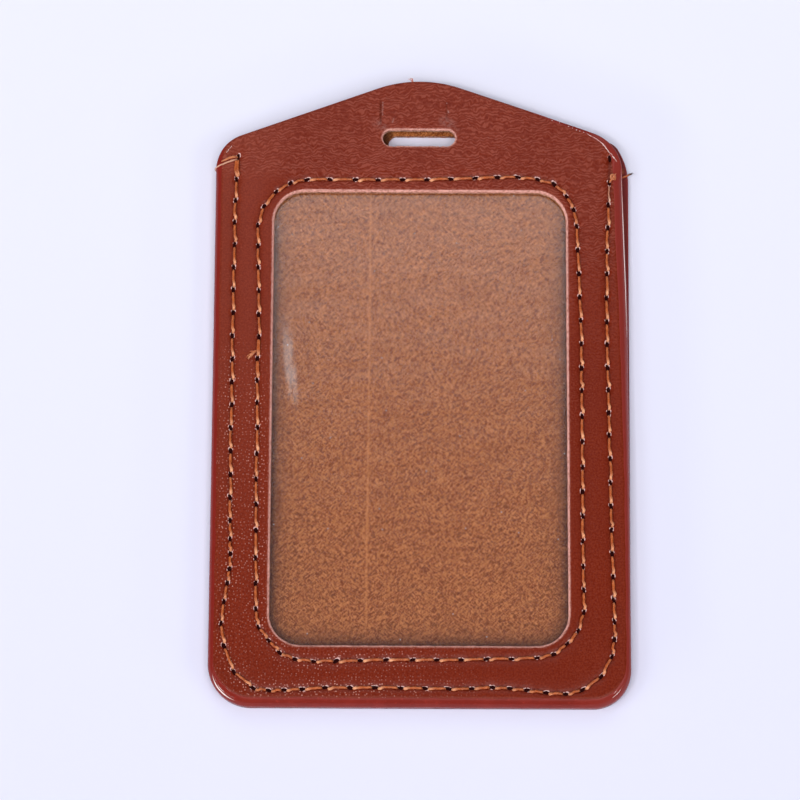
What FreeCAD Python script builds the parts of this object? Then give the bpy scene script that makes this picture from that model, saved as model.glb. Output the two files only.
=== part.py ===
import FreeCAD, Part
import os, math
from FreeCAD import Vector as V

# Vertical badge wallet: two leather-look panels sewn in a U along the sides
# and the bottom, open at the crown, with a clear film sewn behind a window.
# Millimetres. It lies on its back: back face at z = 0, crown towards +Y.

# ---------------------------------------------------------------- dimensions
WIDTH = 70.0            # across the painted edges of the front panel
Y_BOTTOM = -54.6        # lower edge
HALF = WIDTH / 2.0

# front outline: corner points and corner radii
R_BOTTOM_LEFT = 7.2
R_BOTTOM_RIGHT = 6.4
R_SHOULDER_LEFT = 6.5
R_SHOULDER_RIGHT = 7.5
R_CROWN = 21.0
APEX = (-0.43, 55.91)            # where the two crown slopes would meet
SHOULDER_LEFT_Y = 43.12          # where slope and side would meet
SHOULDER_RIGHT = (34.20, 43.80)  # the front panel narrows a little here
TAPER_START_Y = 14.6             # from here up its right side leans inwards

# back outline: its right side stands out past the front panel towards the top
BACK_APEX = (0.10, 55.75)
BACK_SHOULDER_LEFT_Y = 42.95
BACK_SHOULDER_RIGHT = (35.42, 40.20)
R_BACK_SHOULDER_RIGHT = 12.0
BACK_SHOULDER_TOP = (33.20, 44.10)
R_BACK_SHOULDER_TOP = 3.0

# heights of the layers
Z_BACK_SKIN = 0.50       # top of the back skin
Z_BACK_BOARD = 1.10      # top of the back board, floor of the pocket
Z_SEAM = 1.15            # parting line of the edge coating
Z_LOCK = 1.65            # where the two threads of the side seam lock
Z_FILM_LO = 2.10         # film
Z_FILM_HI = 2.30         # underside of the front board
Z_FRONT_BOARD = 3.00     # top of the front board
Z_FRONT = 3.50           # top of the front skin

PAINT = 0.20             # thickness of the edge coating
PAINT_LIP = 0.05         # the coating stops this far short of the faces

# pocket, inside the welt: a U-shaped strip in the seam that keeps the panels
# apart by the thickness of a card and the film
POCKET_LEFT, POCKET_RIGHT = -30.6, 30.4
POCKET_BOTTOM = -50.5
R_POCKET = 5.0

# window in the front panel
WIN_LEFT, WIN_RIGHT = -25.25, 24.95
WIN_BOTTOM, WIN_TOP = -44.74, 34.93
R_WINDOW = 5.6

# film behind it
FILM_LEFT, FILM_RIGHT = -29.6, 29.4
FILM_BOTTOM, FILM_TOP = -49.2, 39.2
R_FILM = 4.0

# lanyard slot: same punch in both panels, set a little apart
SLOT_LENGTH = 12.8
SLOT_WIDTH = 3.3
SLOT_FRONT = (-0.38, 44.33)
SLOT_BACK = (0.62, 43.95)

# line along which the upper lip of the front panel bends
FLEX_Y = 41.60
FLEX_GAP = 0.10

# thread
THREAD = 0.45            # thread width
THREAD_H = 0.28          # height of a stitch above the front face
LEG = 0.40               # thread in the needle hole
HOLE = 0.50              # needle hole
GROOVE_W = 0.62          # stitch groove in the back face
GROOVE_D = 0.32
BOBBIN_LO, BOBBIN_HI = 0.03, 0.28
LOCK_GAP = 0.02          # the two threads meet inside the board

# needle holes of the side seam, from the left end down, round and up again
SIDE_HOLES = [
    (-31.26, 40.67), (-31.46, 36.74), (-31.57, 32.96), (-31.67, 29.06), (-31.62, 25.04), (-31.71, 21.01),
    (-31.72, 17.02), (-31.66, 12.95), (-31.76, 8.87), (-31.70, 4.82), (-31.72, 0.76), (-31.66, -3.21),
    (-31.78, -7.25), (-31.72, -11.27), (-31.69, -15.35), (-31.71, -19.32), (-31.64, -23.26), (-31.59, -26.44),
    (-31.50, -28.97), (-31.59, -31.55), (-31.93, -33.98), (-32.45, -37.13), (-32.87, -40.83), (-32.33, -44.69),
    (-30.66, -49.00), (-27.42, -51.74), (-24.85, -52.13), (-22.31, -52.03), (-19.30, -51.90), (-15.60, -51.62),
    (-11.47, -51.63), (-7.35, -51.56), (-3.12, -51.64), (0.93, -51.67), (4.82, -51.70), (8.61, -51.67),
    (12.03, -51.45), (14.86, -51.59), (17.66, -51.88), (20.80, -52.31), (24.06, -52.52), (26.87, -51.80),
    (29.95, -49.55), (31.78, -46.17), (32.18, -43.29), (32.23, -40.26), (32.15, -36.55), (32.07, -32.63),
    (31.94, -28.68), (31.88, -24.62), (31.83, -20.46), (31.78, -16.43), (31.77, -12.28), (31.63, -8.23),
    (31.59, -4.33), (31.58, -0.32), (31.48, 3.57), (31.43, 7.63), (31.43, 11.63), (31.39, 15.84),
    (31.51, 20.13), (31.56, 24.15), (31.74, 28.33), (31.86, 32.40), (32.06, 36.37), (32.19, 40.78)]

# needle holes of the window seam, a closed loop
WINDOW_HOLES = [
    (-24.70, 34.50), (-22.29, 36.08), (-19.48, 36.71), (-15.53, 36.78), (-11.22, 36.75), (-7.35, 36.73),
    (-3.17, 36.79), (0.98, 36.81), (5.09, 36.95), (9.16, 37.12), (12.98, 37.30), (16.51, 37.33),
    (19.87, 36.94), (22.64, 36.12), (24.77, 33.94), (25.95, 31.53), (26.46, 28.61), (26.60, 24.34),
    (26.77, 20.13), (26.86, 15.99), (27.03, 11.91), (27.10, 7.75), (27.09, 3.44), (27.11, -0.46),
    (27.13, -4.96), (27.15, -9.33), (27.16, -13.80), (27.10, -18.02), (27.12, -22.22), (27.09, -26.50),
    (27.12, -30.86), (27.19, -34.90), (27.19, -38.68), (26.23, -41.83), (24.41, -44.02), (22.16, -45.84),
    (19.38, -46.43), (15.17, -46.64), (11.00, -46.69), (6.87, -46.84), (2.82, -46.86), (-1.16, -46.88),
    (-5.55, -46.89), (-9.77, -47.03), (-13.80, -47.13), (-17.49, -47.20), (-20.59, -46.84), (-23.12, -45.76),
    (-24.96, -43.69), (-26.66, -41.46), (-27.15, -38.36), (-27.22, -33.97), (-27.32, -29.67), (-27.30, -24.94),
    (-27.33, -20.44), (-27.42, -16.11), (-27.35, -11.73), (-27.28, -7.13), (-27.42, -2.79), (-27.48, 1.07),
    (-27.48, 4.92), (-27.29, 8.72), (-27.37, 12.65), (-27.39, 16.88), (-27.56, 21.03), (-27.63, 24.84),
    (-27.74, 28.52), (-26.71, 31.93)]


# ------------------------------------------------------------------- helpers
def inset(points, d):
    """Move every side of a counter-clockwise rounded polygon inwards by d."""
    n = len(points)
    lines = []
    for i in range(n):
        x0, y0, _ = points[i]
        x1, y1, _ = points[(i + 1) % n]
        L = math.hypot(x1 - x0, y1 - y0)
        nx, ny = -(y1 - y0) / L, (x1 - x0) / L
        lines.append((x0 + nx * d, y0 + ny * d, (x1 - x0) / L, (y1 - y0) / L))
    out = []
    for i in range(n):
        ax, ay, adx, ady = lines[i - 1]
        bx, by, bdx, bdy = lines[i]
        det = adx * bdy - ady * bdx
        t = ((bx - ax) * bdy - (by - ay) * bdx) / det
        r = points[i][2]
        out.append((ax + adx * t, ay + ady * t, max(r - d, 0.0) if r else 0.0))
    return out


def outline(points, z):
    """Closed wire through the points, each corner rounded to its radius."""
    n = len(points)
    corners = []
    for i in range(n):
        x, y, r = points[i]
        px, py, _ = points[i - 1]
        qx, qy, _ = points[(i + 1) % n]
        ux, uy = px - x, py - y
        vx, vy = qx - x, qy - y
        lu, lv = math.hypot(ux, uy), math.hypot(vx, vy)
        ux, uy, vx, vy = ux / lu, uy / lu, vx / lv, vy / lv
        half = math.acos(max(-1.0, min(1.0, ux * vx + uy * vy))) / 2.0
        if r <= 0.0:
            corners.append((V(x, y, z), None, V(x, y, z)))
            continue
        t = r / math.tan(half)
        bx, by = ux + vx, uy + vy
        lb = math.hypot(bx, by)
        m = r / math.sin(half) - r
        corners.append((V(x + ux * t, y + uy * t, z),
                        V(x + bx / lb * m, y + by / lb * m, z),
                        V(x + vx * t, y + vy * t, z)))
    edges = []
    for i in range(n):
        a, mid, b = corners[i]
        if mid is not None:
            edges.append(Part.Arc(a, mid, b).toShape())
        nxt = corners[(i + 1) % n][0]
        if b.distanceToPoint(nxt) > 1e-6:
            edges.append(Part.LineSegment(b, nxt).toShape())
    return Part.Wire(edges)


def plate(points, z0, z1):
    return Part.Face(outline(points, z0)).extrude(V(0, 0, z1 - z0))


def rounded_box(x0, x1, y0, y1, r):
    return [(x0, y0, r), (x1, y0, r), (x1, y1, r), (x0, y1, r)]


def slot(centre, z0, z1):
    x, y = centre
    a, b = SLOT_LENGTH / 2.0, SLOT_WIDTH / 2.0
    r = b - 0.001
    return plate([(x - a, y - b, r), (x + a, y - b, r), (x + a, y + b, r), (x - a, y + b, r)], z0, z1)


def below(y, z0=-5.0, z1=15.0):
    return Part.makeBox(200, 200, z1 - z0, V(-100, y - 200, z0))


def above(y, z0=-5.0, z1=15.0):
    return Part.makeBox(200, 200, z1 - z0, V(-100, y, z0))


def headings(path, closed):
    n = len(path)
    out = []
    for i in range(n):
        a = path[(i - 1) % n] if (closed or i > 0) else path[i]
        b = path[(i + 1) % n] if (closed or i < n - 1) else path[i]
        out.append(math.degrees(math.atan2(b[1] - a[1], b[0] - a[0])))
    return out


def posts(path, closed, side, z0, z1):
    """One upright square post at each needle hole, turned along the seam."""
    out = []
    for (x, y), ang in zip(path, headings(path, closed)):
        b = Part.makeBox(side, side, z1 - z0, V(-side / 2.0, -side / 2.0, z0))
        b.rotate(V(0, 0, 0), V(0, 0, 1), ang)
        b.translate(V(x, y, 0))
        out.append(b)
    return out


def band(path, closed, width, z0, z1, reach=0.3):
    """Flat band along the seam, mitred at every needle hole."""
    n = len(path)
    h = width / 2.0
    pts = list(path)
    if not closed:                      # run a little past the end holes
        for k, (i, j) in enumerate(((0, 1), (n - 1, n - 2))):
            (x0, y0), (x1, y1) = path[i], path[j]
            L = math.hypot(x1 - x0, y1 - y0)
            pts[i] = (x0 - (x1 - x0) / L * reach, y0 - (y1 - y0) / L * reach)
    left, right = [], []
    for i in range(n):
        prev = pts[(i - 1) % n] if (closed or i > 0) else None
        nxt = pts[(i + 1) % n] if (closed or i < n - 1) else None
        x, y = pts[i]
        ds = []
        for a, b in ((prev, (x, y)), ((x, y), nxt)):
            if a is not None and b is not None:
                L = math.hypot(b[0] - a[0], b[1] - a[1])
                ds.append(((b[0] - a[0]) / L, (b[1] - a[1]) / L))
        if len(ds) == 1:
            ds.append(ds[0])
        mx, my = -(ds[0][1] + ds[1][1]), ds[0][0] + ds[1][0]
        L = math.hypot(mx, my)
        mx, my = mx / L, my / L
        k = h / (mx * -ds[0][1] + my * ds[0][0])
        left.append((x + mx * k, y + my * k))
        right.append((x - mx * k, y - my * k))

    def prism(loop):
        return Part.Face(Part.makePolygon([V(x, y, z0) for x, y in loop + loop[:1]])).extrude(V(0, 0, z1 - z0))

    if not closed:
        return prism(left + right[::-1])
    p, q = prism(left), prism(right)
    return p.cut(q) if p.Volume > q.Volume else q.cut(p)


def sewn(path, closed, bar_z, post_z):
    """A thread: its visible band of stitches and its legs in the holes."""
    lo, hi = bar_z
    run = band(path, closed, THREAD, lo, hi)
    legs = posts(path, closed, LEG, post_z[0], post_z[1])
    return run.fuse(legs)


def single(shape):
    return shape.Solids[0] if len(shape.Solids) == 1 else shape


# ------------------------------------------------------------------ outlines
FRONT = [(-HALF, Y_BOTTOM, R_BOTTOM_LEFT), (HALF, Y_BOTTOM, R_BOTTOM_RIGHT), (HALF, TAPER_START_Y, 300.0),
         (SHOULDER_RIGHT[0], SHOULDER_RIGHT[1], R_SHOULDER_RIGHT), (APEX[0], APEX[1], R_CROWN),
         (-HALF, SHOULDER_LEFT_Y, R_SHOULDER_LEFT)]
BACK = [(-HALF, Y_BOTTOM, R_BOTTOM_LEFT), (HALF, Y_BOTTOM, R_BOTTOM_RIGHT),
        (BACK_SHOULDER_RIGHT[0], BACK_SHOULDER_RIGHT[1], R_BACK_SHOULDER_RIGHT),
        (BACK_SHOULDER_TOP[0], BACK_SHOULDER_TOP[1], R_BACK_SHOULDER_TOP), (BACK_APEX[0], BACK_APEX[1], R_CROWN),
        (-HALF, BACK_SHOULDER_LEFT_Y, R_SHOULDER_LEFT)]
FRONT_IN = inset(FRONT, PAINT)
BACK_IN = inset(BACK, PAINT)
WINDOW = rounded_box(WIN_LEFT, WIN_RIGHT, WIN_BOTTOM, WIN_TOP, R_WINDOW)
FILM = rounded_box(FILM_LEFT, FILM_RIGHT, FILM_BOTTOM, FILM_TOP, R_FILM)
POCKET = [(POCKET_LEFT, POCKET_BOTTOM, R_POCKET), (POCKET_RIGHT, POCKET_BOTTOM, R_POCKET),
          (POCKET_RIGHT, 90.0, 0.0), (POCKET_LEFT, 90.0, 0.0)]
WELT_TOP = FLEX_Y - FLEX_GAP      # the welt ends just under the lip
# the right end of the side seam is an empty hole: the thread stops one short
SIDE_SEWN = SIDE_HOLES[:-1]

parts = {}

# ---------------------------------------------------------------- back panel
side_holes_back = posts(SIDE_HOLES, False, HOLE, -1.0, Z_LOCK + 1.0)
groove = band(SIDE_SEWN, False, GROOVE_W, -1.0, GROOVE_D, 0.4)
back_skin = plate(BACK_IN, 0.0, Z_BACK_SKIN)
back_skin = back_skin.cut([slot(SLOT_BACK, -1, 2)] + side_holes_back).cut(groove)
parts["back_skin"] = back_skin

back_board = plate(BACK_IN, Z_BACK_SKIN, Z_BACK_BOARD)
back_board = back_board.cut([slot(SLOT_BACK, -1, 2)] + side_holes_back)
parts["back_board"] = back_board

back_ring = plate(BACK, PAINT_LIP, Z_BACK_BOARD - PAINT_LIP).cut(plate(BACK_IN, -1, 5))
back_ring_u = plate(BACK, PAINT_LIP, Z_SEAM - PAINT_LIP).cut(plate(BACK_IN, -1, 5)).common(below(WELT_TOP))
parts["back_edge_paint"] = back_ring.fuse(back_ring_u).removeSplitter()

# ---------------------------------------------------------- strip in the seam
welt = plate(FRONT_IN, Z_BACK_BOARD, Z_FILM_HI).cut(plate(POCKET, 0, 5)).common(below(WELT_TOP))
parts["seam_welt"] = welt.cut(posts(SIDE_HOLES, False, HOLE, 0.0, 5.0))

# --------------------------------------------------------------- front panel
front_cut = [plate(WINDOW, 0, 10)]
side_holes_front = posts(SIDE_HOLES, False, HOLE, Z_LOCK - 1.0, Z_FRONT + 1.0)
window_holes = posts(WINDOW_HOLES, True, HOLE, Z_FILM_LO - 1.0, Z_FRONT + 1.0)
front_skin_all = plate(FRONT_IN, Z_FRONT_BOARD, Z_FRONT)
front_board_all = plate(FRONT_IN, Z_FILM_HI, Z_FRONT_BOARD)
front_ring_all = plate(FRONT, Z_FILM_HI + PAINT_LIP, Z_FRONT - PAINT_LIP).cut(plate(FRONT_IN, 0, 10))
front_ring_u = plate(FRONT, Z_SEAM + PAINT_LIP, Z_FRONT - PAINT_LIP).cut(plate(FRONT_IN, 0, 10))

lower = below(FLEX_Y - FLEX_GAP)
upper = above(FLEX_Y)
parts["front_skin"] = front_skin_all.common(lower).cut(front_cut + side_holes_front + window_holes)
parts["front_board"] = front_board_all.common(lower).cut(front_cut + side_holes_front + window_holes)
parts["front_edge_paint"] = front_ring_u.common(lower)

# the lip that bends away to open the pocket
lip_slot = slot(SLOT_FRONT, 0, 10)
parts["front_skin_crown"] = front_skin_all.common(upper).cut(lip_slot)
parts["front_board_crown"] = front_board_all.common(upper).cut(lip_slot)
parts["front_edge_paint_crown"] = front_ring_all.common(upper)

# ---------------------------------------------------------------------- film
parts["window_film"] = plate(FILM, Z_FILM_LO, Z_FILM_HI).cut(window_holes)

# -------------------------------------------------------------------- thread
window_lock = (Z_FILM_HI + Z_FRONT_BOARD) / 2.0
BITE = 0.1               # the legs reach this far into the band they hang on
parts["window_needle_thread"] = sewn(WINDOW_HOLES, True, (Z_FRONT, Z_FRONT + THREAD_H),
                                     (window_lock + LOCK_GAP, Z_FRONT + BITE))
parts["window_bobbin_thread"] = sewn(WINDOW_HOLES, True, (Z_FILM_LO - 0.18, Z_FILM_LO),
                                     (Z_FILM_LO - BITE, window_lock))
parts["side_needle_thread"] = sewn(SIDE_SEWN, False, (Z_FRONT, Z_FRONT + THREAD_H),
                                   (Z_LOCK + LOCK_GAP, Z_FRONT + BITE))
parts["side_bobbin_thread"] = sewn(SIDE_SEWN, False, (BOBBIN_LO, BOBBIN_HI),
                                   (BOBBIN_HI - BITE, Z_LOCK))

# -------------------------------------------------------------------- output
os.makedirs("parts", exist_ok=True)
for name, shape in parts.items():
    shape = single(shape)
    bb = shape.BoundBox
    print("%-24s solids %d valid %s faces %4d vol %9.2f  x %.2f..%.2f y %.2f..%.2f z %.2f..%.2f" % (
        name, len(shape.Solids), shape.isValid(), len(shape.Faces), shape.Volume,
        bb.XMin, bb.XMax, bb.YMin, bb.YMax, bb.ZMin, bb.ZMax))
    shape.exportStep("parts/%s.step" % name)
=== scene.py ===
import bpy
import math
import numpy as np
from mathutils import Matrix, Vector, noise
from mathutils.geometry import delaunay_2d_cdt


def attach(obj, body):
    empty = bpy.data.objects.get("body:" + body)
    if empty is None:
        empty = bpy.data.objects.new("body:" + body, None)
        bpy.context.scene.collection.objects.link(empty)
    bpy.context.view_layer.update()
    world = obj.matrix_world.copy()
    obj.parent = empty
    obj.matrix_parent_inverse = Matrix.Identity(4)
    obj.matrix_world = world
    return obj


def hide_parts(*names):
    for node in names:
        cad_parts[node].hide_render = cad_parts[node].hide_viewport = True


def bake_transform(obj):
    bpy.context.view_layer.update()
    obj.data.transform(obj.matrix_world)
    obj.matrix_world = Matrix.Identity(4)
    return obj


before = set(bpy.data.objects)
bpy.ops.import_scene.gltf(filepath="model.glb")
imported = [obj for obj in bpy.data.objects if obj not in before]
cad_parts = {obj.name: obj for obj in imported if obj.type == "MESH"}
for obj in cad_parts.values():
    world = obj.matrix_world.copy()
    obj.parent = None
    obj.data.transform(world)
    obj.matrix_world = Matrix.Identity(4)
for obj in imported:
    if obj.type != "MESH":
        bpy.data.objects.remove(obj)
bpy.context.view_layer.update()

# Everything below is worked out in millimetres and written in metres.
MM = 0.001
RNG = np.random.default_rng(11)

# ---------------------------------------------------------------- dimensions
FRONT = [(-35.0, -54.6, 7.2), (35.0, -54.6, 6.4), (35.0, 14.6, 300.0), (34.20, 43.80, 7.5),
         (-0.43, 55.91, 21.0), (-35.0, 43.12, 6.5)]
BACK = [(-35.0, -54.6, 7.2), (35.0, -54.6, 6.4), (35.42, 40.20, 12.0), (33.20, 44.10, 3.0), (0.10, 55.75, 21.0), (-35.0, 42.95, 6.5)]
WINDOW = [(-25.25, -44.74, 5.6), (24.95, -44.74, 5.6), (24.95, 34.93, 5.6), (-25.25, 34.93, 5.6)]
FILM = [(-29.6, -49.2, 4.0), (29.4, -49.2, 4.0), (29.4, 39.2, 4.0), (-29.6, 39.2, 4.0)]
SLOT_FRONT, SLOT_BACK = (-0.38, 44.33), (0.62, 43.95)
SLOT_L, SLOT_W = 12.8, 3.3
Z_BACK_SKIN, Z_BACK_BOARD, Z_SEAM = 0.50, 1.10, 1.15
Z_FILM_LO, Z_FILM_HI, Z_BOARD, Z_TOP = 2.10, 2.30, 3.00, 3.50
FLEX_Y, FLEX_END = 41.6, 50.0

SIDE_HOLES = np.array([
    (-31.26, 40.67), (-31.46, 36.74), (-31.57, 32.96), (-31.67, 29.06), (-31.62, 25.04), (-31.71, 21.01),
    (-31.72, 17.02), (-31.66, 12.95), (-31.76, 8.87), (-31.70, 4.82), (-31.72, 0.76), (-31.66, -3.21),
    (-31.78, -7.25), (-31.72, -11.27), (-31.69, -15.35), (-31.71, -19.32), (-31.64, -23.26), (-31.59, -26.44),
    (-31.50, -28.97), (-31.59, -31.55), (-31.93, -33.98), (-32.45, -37.13), (-32.87, -40.83), (-32.33, -44.69),
    (-30.66, -49.00), (-27.42, -51.74), (-24.85, -52.13), (-22.31, -52.03), (-19.30, -51.90), (-15.60, -51.62),
    (-11.47, -51.63), (-7.35, -51.56), (-3.12, -51.64), (0.93, -51.67), (4.82, -51.70), (8.61, -51.67),
    (12.03, -51.45), (14.86, -51.59), (17.66, -51.88), (20.80, -52.31), (24.06, -52.52), (26.87, -51.80),
    (29.95, -49.55), (31.78, -46.17), (32.18, -43.29), (32.23, -40.26), (32.15, -36.55), (32.07, -32.63),
    (31.94, -28.68), (31.88, -24.62), (31.83, -20.46), (31.78, -16.43), (31.77, -12.28), (31.63, -8.23),
    (31.59, -4.33), (31.58, -0.32), (31.48, 3.57), (31.43, 7.63), (31.43, 11.63), (31.39, 15.84),
    (31.51, 20.13), (31.56, 24.15), (31.74, 28.33), (31.86, 32.40), (32.06, 36.37), (32.19, 40.78)])
WINDOW_HOLES = np.array([
    (-24.70, 34.50), (-22.29, 36.08), (-19.48, 36.71), (-15.53, 36.78), (-11.22, 36.75), (-7.35, 36.73),
    (-3.17, 36.79), (0.98, 36.81), (5.09, 36.95), (9.16, 37.12), (12.98, 37.30), (16.51, 37.33),
    (19.87, 36.94), (22.64, 36.12), (24.77, 33.94), (25.95, 31.53), (26.46, 28.61), (26.60, 24.34),
    (26.77, 20.13), (26.86, 15.99), (27.03, 11.91), (27.10, 7.75), (27.09, 3.44), (27.11, -0.46),
    (27.13, -4.96), (27.15, -9.33), (27.16, -13.80), (27.10, -18.02), (27.12, -22.22), (27.09, -26.50),
    (27.12, -30.86), (27.19, -34.90), (27.19, -38.68), (26.23, -41.83), (24.41, -44.02), (22.16, -45.84),
    (19.38, -46.43), (15.17, -46.64), (11.00, -46.69), (6.87, -46.84), (2.82, -46.86), (-1.16, -46.88),
    (-5.55, -46.89), (-9.77, -47.03), (-13.80, -47.13), (-17.49, -47.20), (-20.59, -46.84), (-23.12, -45.76),
    (-24.96, -43.69), (-26.66, -41.46), (-27.15, -38.36), (-27.22, -33.97), (-27.32, -29.67), (-27.30, -24.94),
    (-27.33, -20.44), (-27.42, -16.11), (-27.35, -11.73), (-27.28, -7.13), (-27.42, -2.79), (-27.48, 1.07),
    (-27.48, 4.92), (-27.29, 8.72), (-27.37, 12.65), (-27.39, 16.88), (-27.56, 21.03), (-27.63, 24.84),
    (-27.74, 28.52), (-26.71, 31.93)])
SIDE_SEWN = SIDE_HOLES[:-1]

# pressed marks on the crown: x, upper y, lower y, depth
MARKS = [(-6.95, 50.9, 47.1, 0.075), (4.33, 50.4, 48.0, 0.045)]
# pale rubs beside them: two ends, half width, strength
SCUFFS = [((-6.64, 50.3), (-6.66, 48.4), 0.09, 0.75), ((-6.62, 50.62), (-6.58, 50.58), 0.09, 0.9), ((4.42, 50.62), (4.46, 50.55), 0.11, 1.6),
          ((4.62, 49.05), (4.66, 48.9), 0.10, 1.2), ((-7.2, 46.9), (-6.5, 46.2), 0.75, 0.35), ((3.9, 47.4), (4.8, 46.8), 0.75, 0.40),
          ((-4.95, 47.05), (-4.72, 47.75), 0.09, 1.0), ((5.2, 46.3), (5.9, 45.6), 0.5, 0.25)]


# ------------------------------------------------------------- flat geometry
def smooth(a, b, x):
    t = np.clip((np.asarray(x, float) - a) / (b - a), 0.0, 1.0)
    return t * t * (3.0 - 2.0 * t)


def resample(loop, step, closed=True):
    pts = np.concatenate([loop, loop[:1]]) if closed else np.asarray(loop)
    pts = pts[np.concatenate([[True], np.linalg.norm(np.diff(pts, axis=0), axis=1) > 1e-9])]
    s = np.concatenate([[0.0], np.cumsum(np.linalg.norm(np.diff(pts, axis=0), axis=1))])
    n = max(8, int(round(s[-1] / step)))
    t = np.linspace(0.0, s[-1], n + 1)
    t = t[:-1] if closed else t
    return np.stack([np.interp(t, s, pts[:, k]) for k in range(pts.shape[1])], 1)


def rounded(points, step):
    """Closed counter-clockwise loop through rounded corners, evenly spaced."""
    n = len(points)
    runs = []
    for i in range(n):
        x, y, r = points[i]
        p = np.array([x, y])
        u = np.array(points[i - 1][:2]) - p
        v = np.array(points[(i + 1) % n][:2]) - p
        u, v = u / np.linalg.norm(u), v / np.linalg.norm(v)
        half = math.acos(np.clip(u @ v, -1.0, 1.0)) / 2.0
        t = r / math.tan(half)
        c = p + (u + v) / np.linalg.norm(u + v) * r / math.sin(half)
        a, b = p + u * t - c, p + v * t - c
        a0, a1 = math.atan2(a[1], a[0]), math.atan2(b[1], b[0])
        d = (a1 - a0 + math.pi) % (2.0 * math.pi) - math.pi
        ang = a0 + d * np.linspace(0.0, 1.0, max(4, int(abs(d) * r / 0.05)) + 1)
        runs.append(np.stack([c[0] + r * np.cos(ang), c[1] + r * np.sin(ang)], 1))
    return resample(np.concatenate(runs), step)


def slot_loop(centre, step):
    x, y = centre
    a, b = SLOT_L / 2.0, SLOT_W / 2.0
    r = b - 0.001
    return rounded([(x - a, y - b, r), (x + a, y - b, r), (x + a, y + b, r), (x - a, y + b, r)], step)


def left_of(loop):
    """Unit normals on the left of a closed loop."""
    t = np.roll(loop, -1, 0) - np.roll(loop, 1, 0)
    t = t / np.linalg.norm(t, axis=1)[:, None]
    return np.stack([-t[:, 1], t[:, 0]], 1)


def nearest(pts, line, closed=True):
    """Distance of each point to a line of points, and how far along it that is."""
    a = line if closed else line[:-1]
    b = np.roll(line, -1, 0) if closed else line[1:]
    d = b - a
    l2 = (d ** 2).sum(1)
    s0 = np.concatenate([[0.0], np.cumsum(np.sqrt(l2))])[:-1]
    dist, along = np.empty(len(pts)), np.empty(len(pts))
    for i in range(0, len(pts), 2000):
        p = pts[i:i + 2000]
        w = p[:, None, :] - a[None]
        t = np.clip((w * d).sum(2) / l2, 0.0, 1.0)
        q = ((w - t[..., None] * d) ** 2).sum(2)
        k = q.argmin(1)
        r = np.arange(len(p))
        dist[i:i + 2000] = np.sqrt(q[r, k])
        along[i:i + 2000] = s0[k] + t[r, k] * np.sqrt(l2[k])
    return dist, along


def inside(pts, loop):
    x, y = pts[:, 0], pts[:, 1]
    near = (x > loop[:, 0].min()) & (x < loop[:, 0].max()) & (y > loop[:, 1].min()) & (y < loop[:, 1].max())
    out = np.zeros(len(pts), bool)
    idx = np.nonzero(near)[0]
    if not len(idx):
        return out
    x, y = x[idx], y[idx]
    res = np.zeros(len(idx), bool)
    for (x0, y0), (x1, y1) in zip(loop, np.roll(loop, -1, 0)):
        if y0 == y1:
            continue
        c = (y0 > y) != (y1 > y)
        res ^= c & (x < (x1 - x0) * (y - y0) / (y1 - y0) + x0)
    out[idx] = res
    return out


def fbm(xy, scale, seed, octaves=2):
    return np.array([noise.fractal(Vector((x * scale, y * scale, seed)), 1.0, 2.0, octaves) for x, y in xy])


class Cloud:
    """Points kept a given distance apart."""

    def __init__(self, cell=0.35):
        self.cell, self.grid, self.pts = cell, {}, []

    def add(self, pts, gap):
        c = self.cell
        for x, y in pts:
            i, j = int(math.floor(x / c)), int(math.floor(y / c))
            if gap > 0.0:
                k = int(math.ceil(gap / c))
                g2 = gap * gap
                clash = False
                for a in range(i - k, i + k + 1):
                    for b in range(j - k, j + k + 1):
                        for px, py in self.grid.get((a, b), ()):
                            if (px - x) ** 2 + (py - y) ** 2 < g2:
                                clash = True
                                break
                        if clash:
                            break
                    if clash:
                        break
                if clash:
                    continue
            self.grid.setdefault((i, j), []).append((x, y))
            self.pts.append((x, y))


def hexfill(loop, spacing):
    x0, y0 = loop.min(0)
    x1, y1 = loop.max(0)
    rows = []
    k = 0
    y = y0
    while y < y1:
        xs = np.arange(x0 + (k % 2) * spacing / 2.0, x1, spacing)
        rows.append(np.stack([xs, np.full(len(xs), y)], 1))
        y += spacing * 0.866
        k += 1
    return np.concatenate(rows)


def needle_holes(holes, closed, a, b, seed):
    """One ragged oval per needle hole, long way along the seam: (centre, heading, ring(offset, count))."""
    rng = np.random.default_rng(seed)
    n = len(holes)
    out = []
    for i, c in enumerate(holes):
        p = holes[(i - 1) % n] if (closed or i) else holes[i]
        q = holes[(i + 1) % n] if (closed or i < n - 1) else holes[i]
        u = (q - p) / np.linalg.norm(q - p)
        turn = rng.normal(0.0, 0.16)
        u = np.array([u[0] * math.cos(turn) - u[1] * math.sin(turn), u[0] * math.sin(turn) + u[1] * math.cos(turn)])
        aa, bb = a * rng.uniform(0.86, 1.14), b * rng.uniform(0.86, 1.16)
        ph = rng.uniform(0, 6.28, 3)
        amp = rng.uniform(0.02, 0.075, 3)

        def ring(offset, count, c=c, u=u, aa=aa, bb=bb, ph=ph, amp=amp):
            t = np.linspace(0, 2 * math.pi, count, endpoint=False)
            w = 1.0 + (amp[0] * np.sin(2 * t + ph[0]) + amp[1] * np.sin(3 * t + ph[1]) + amp[2] * np.sin(5 * t + ph[2])) \
                * max(0.0, 1.0 - offset / 0.4)
            x, y = (aa + offset) * np.cos(t) * w, (bb + offset) * np.sin(t) * w
            return np.stack([c[0] + x * u[0] - y * u[1], c[1] + x * u[1] + y * u[0]], 1)

        out.append((c, u, ring, aa, bb))
    return out


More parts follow.
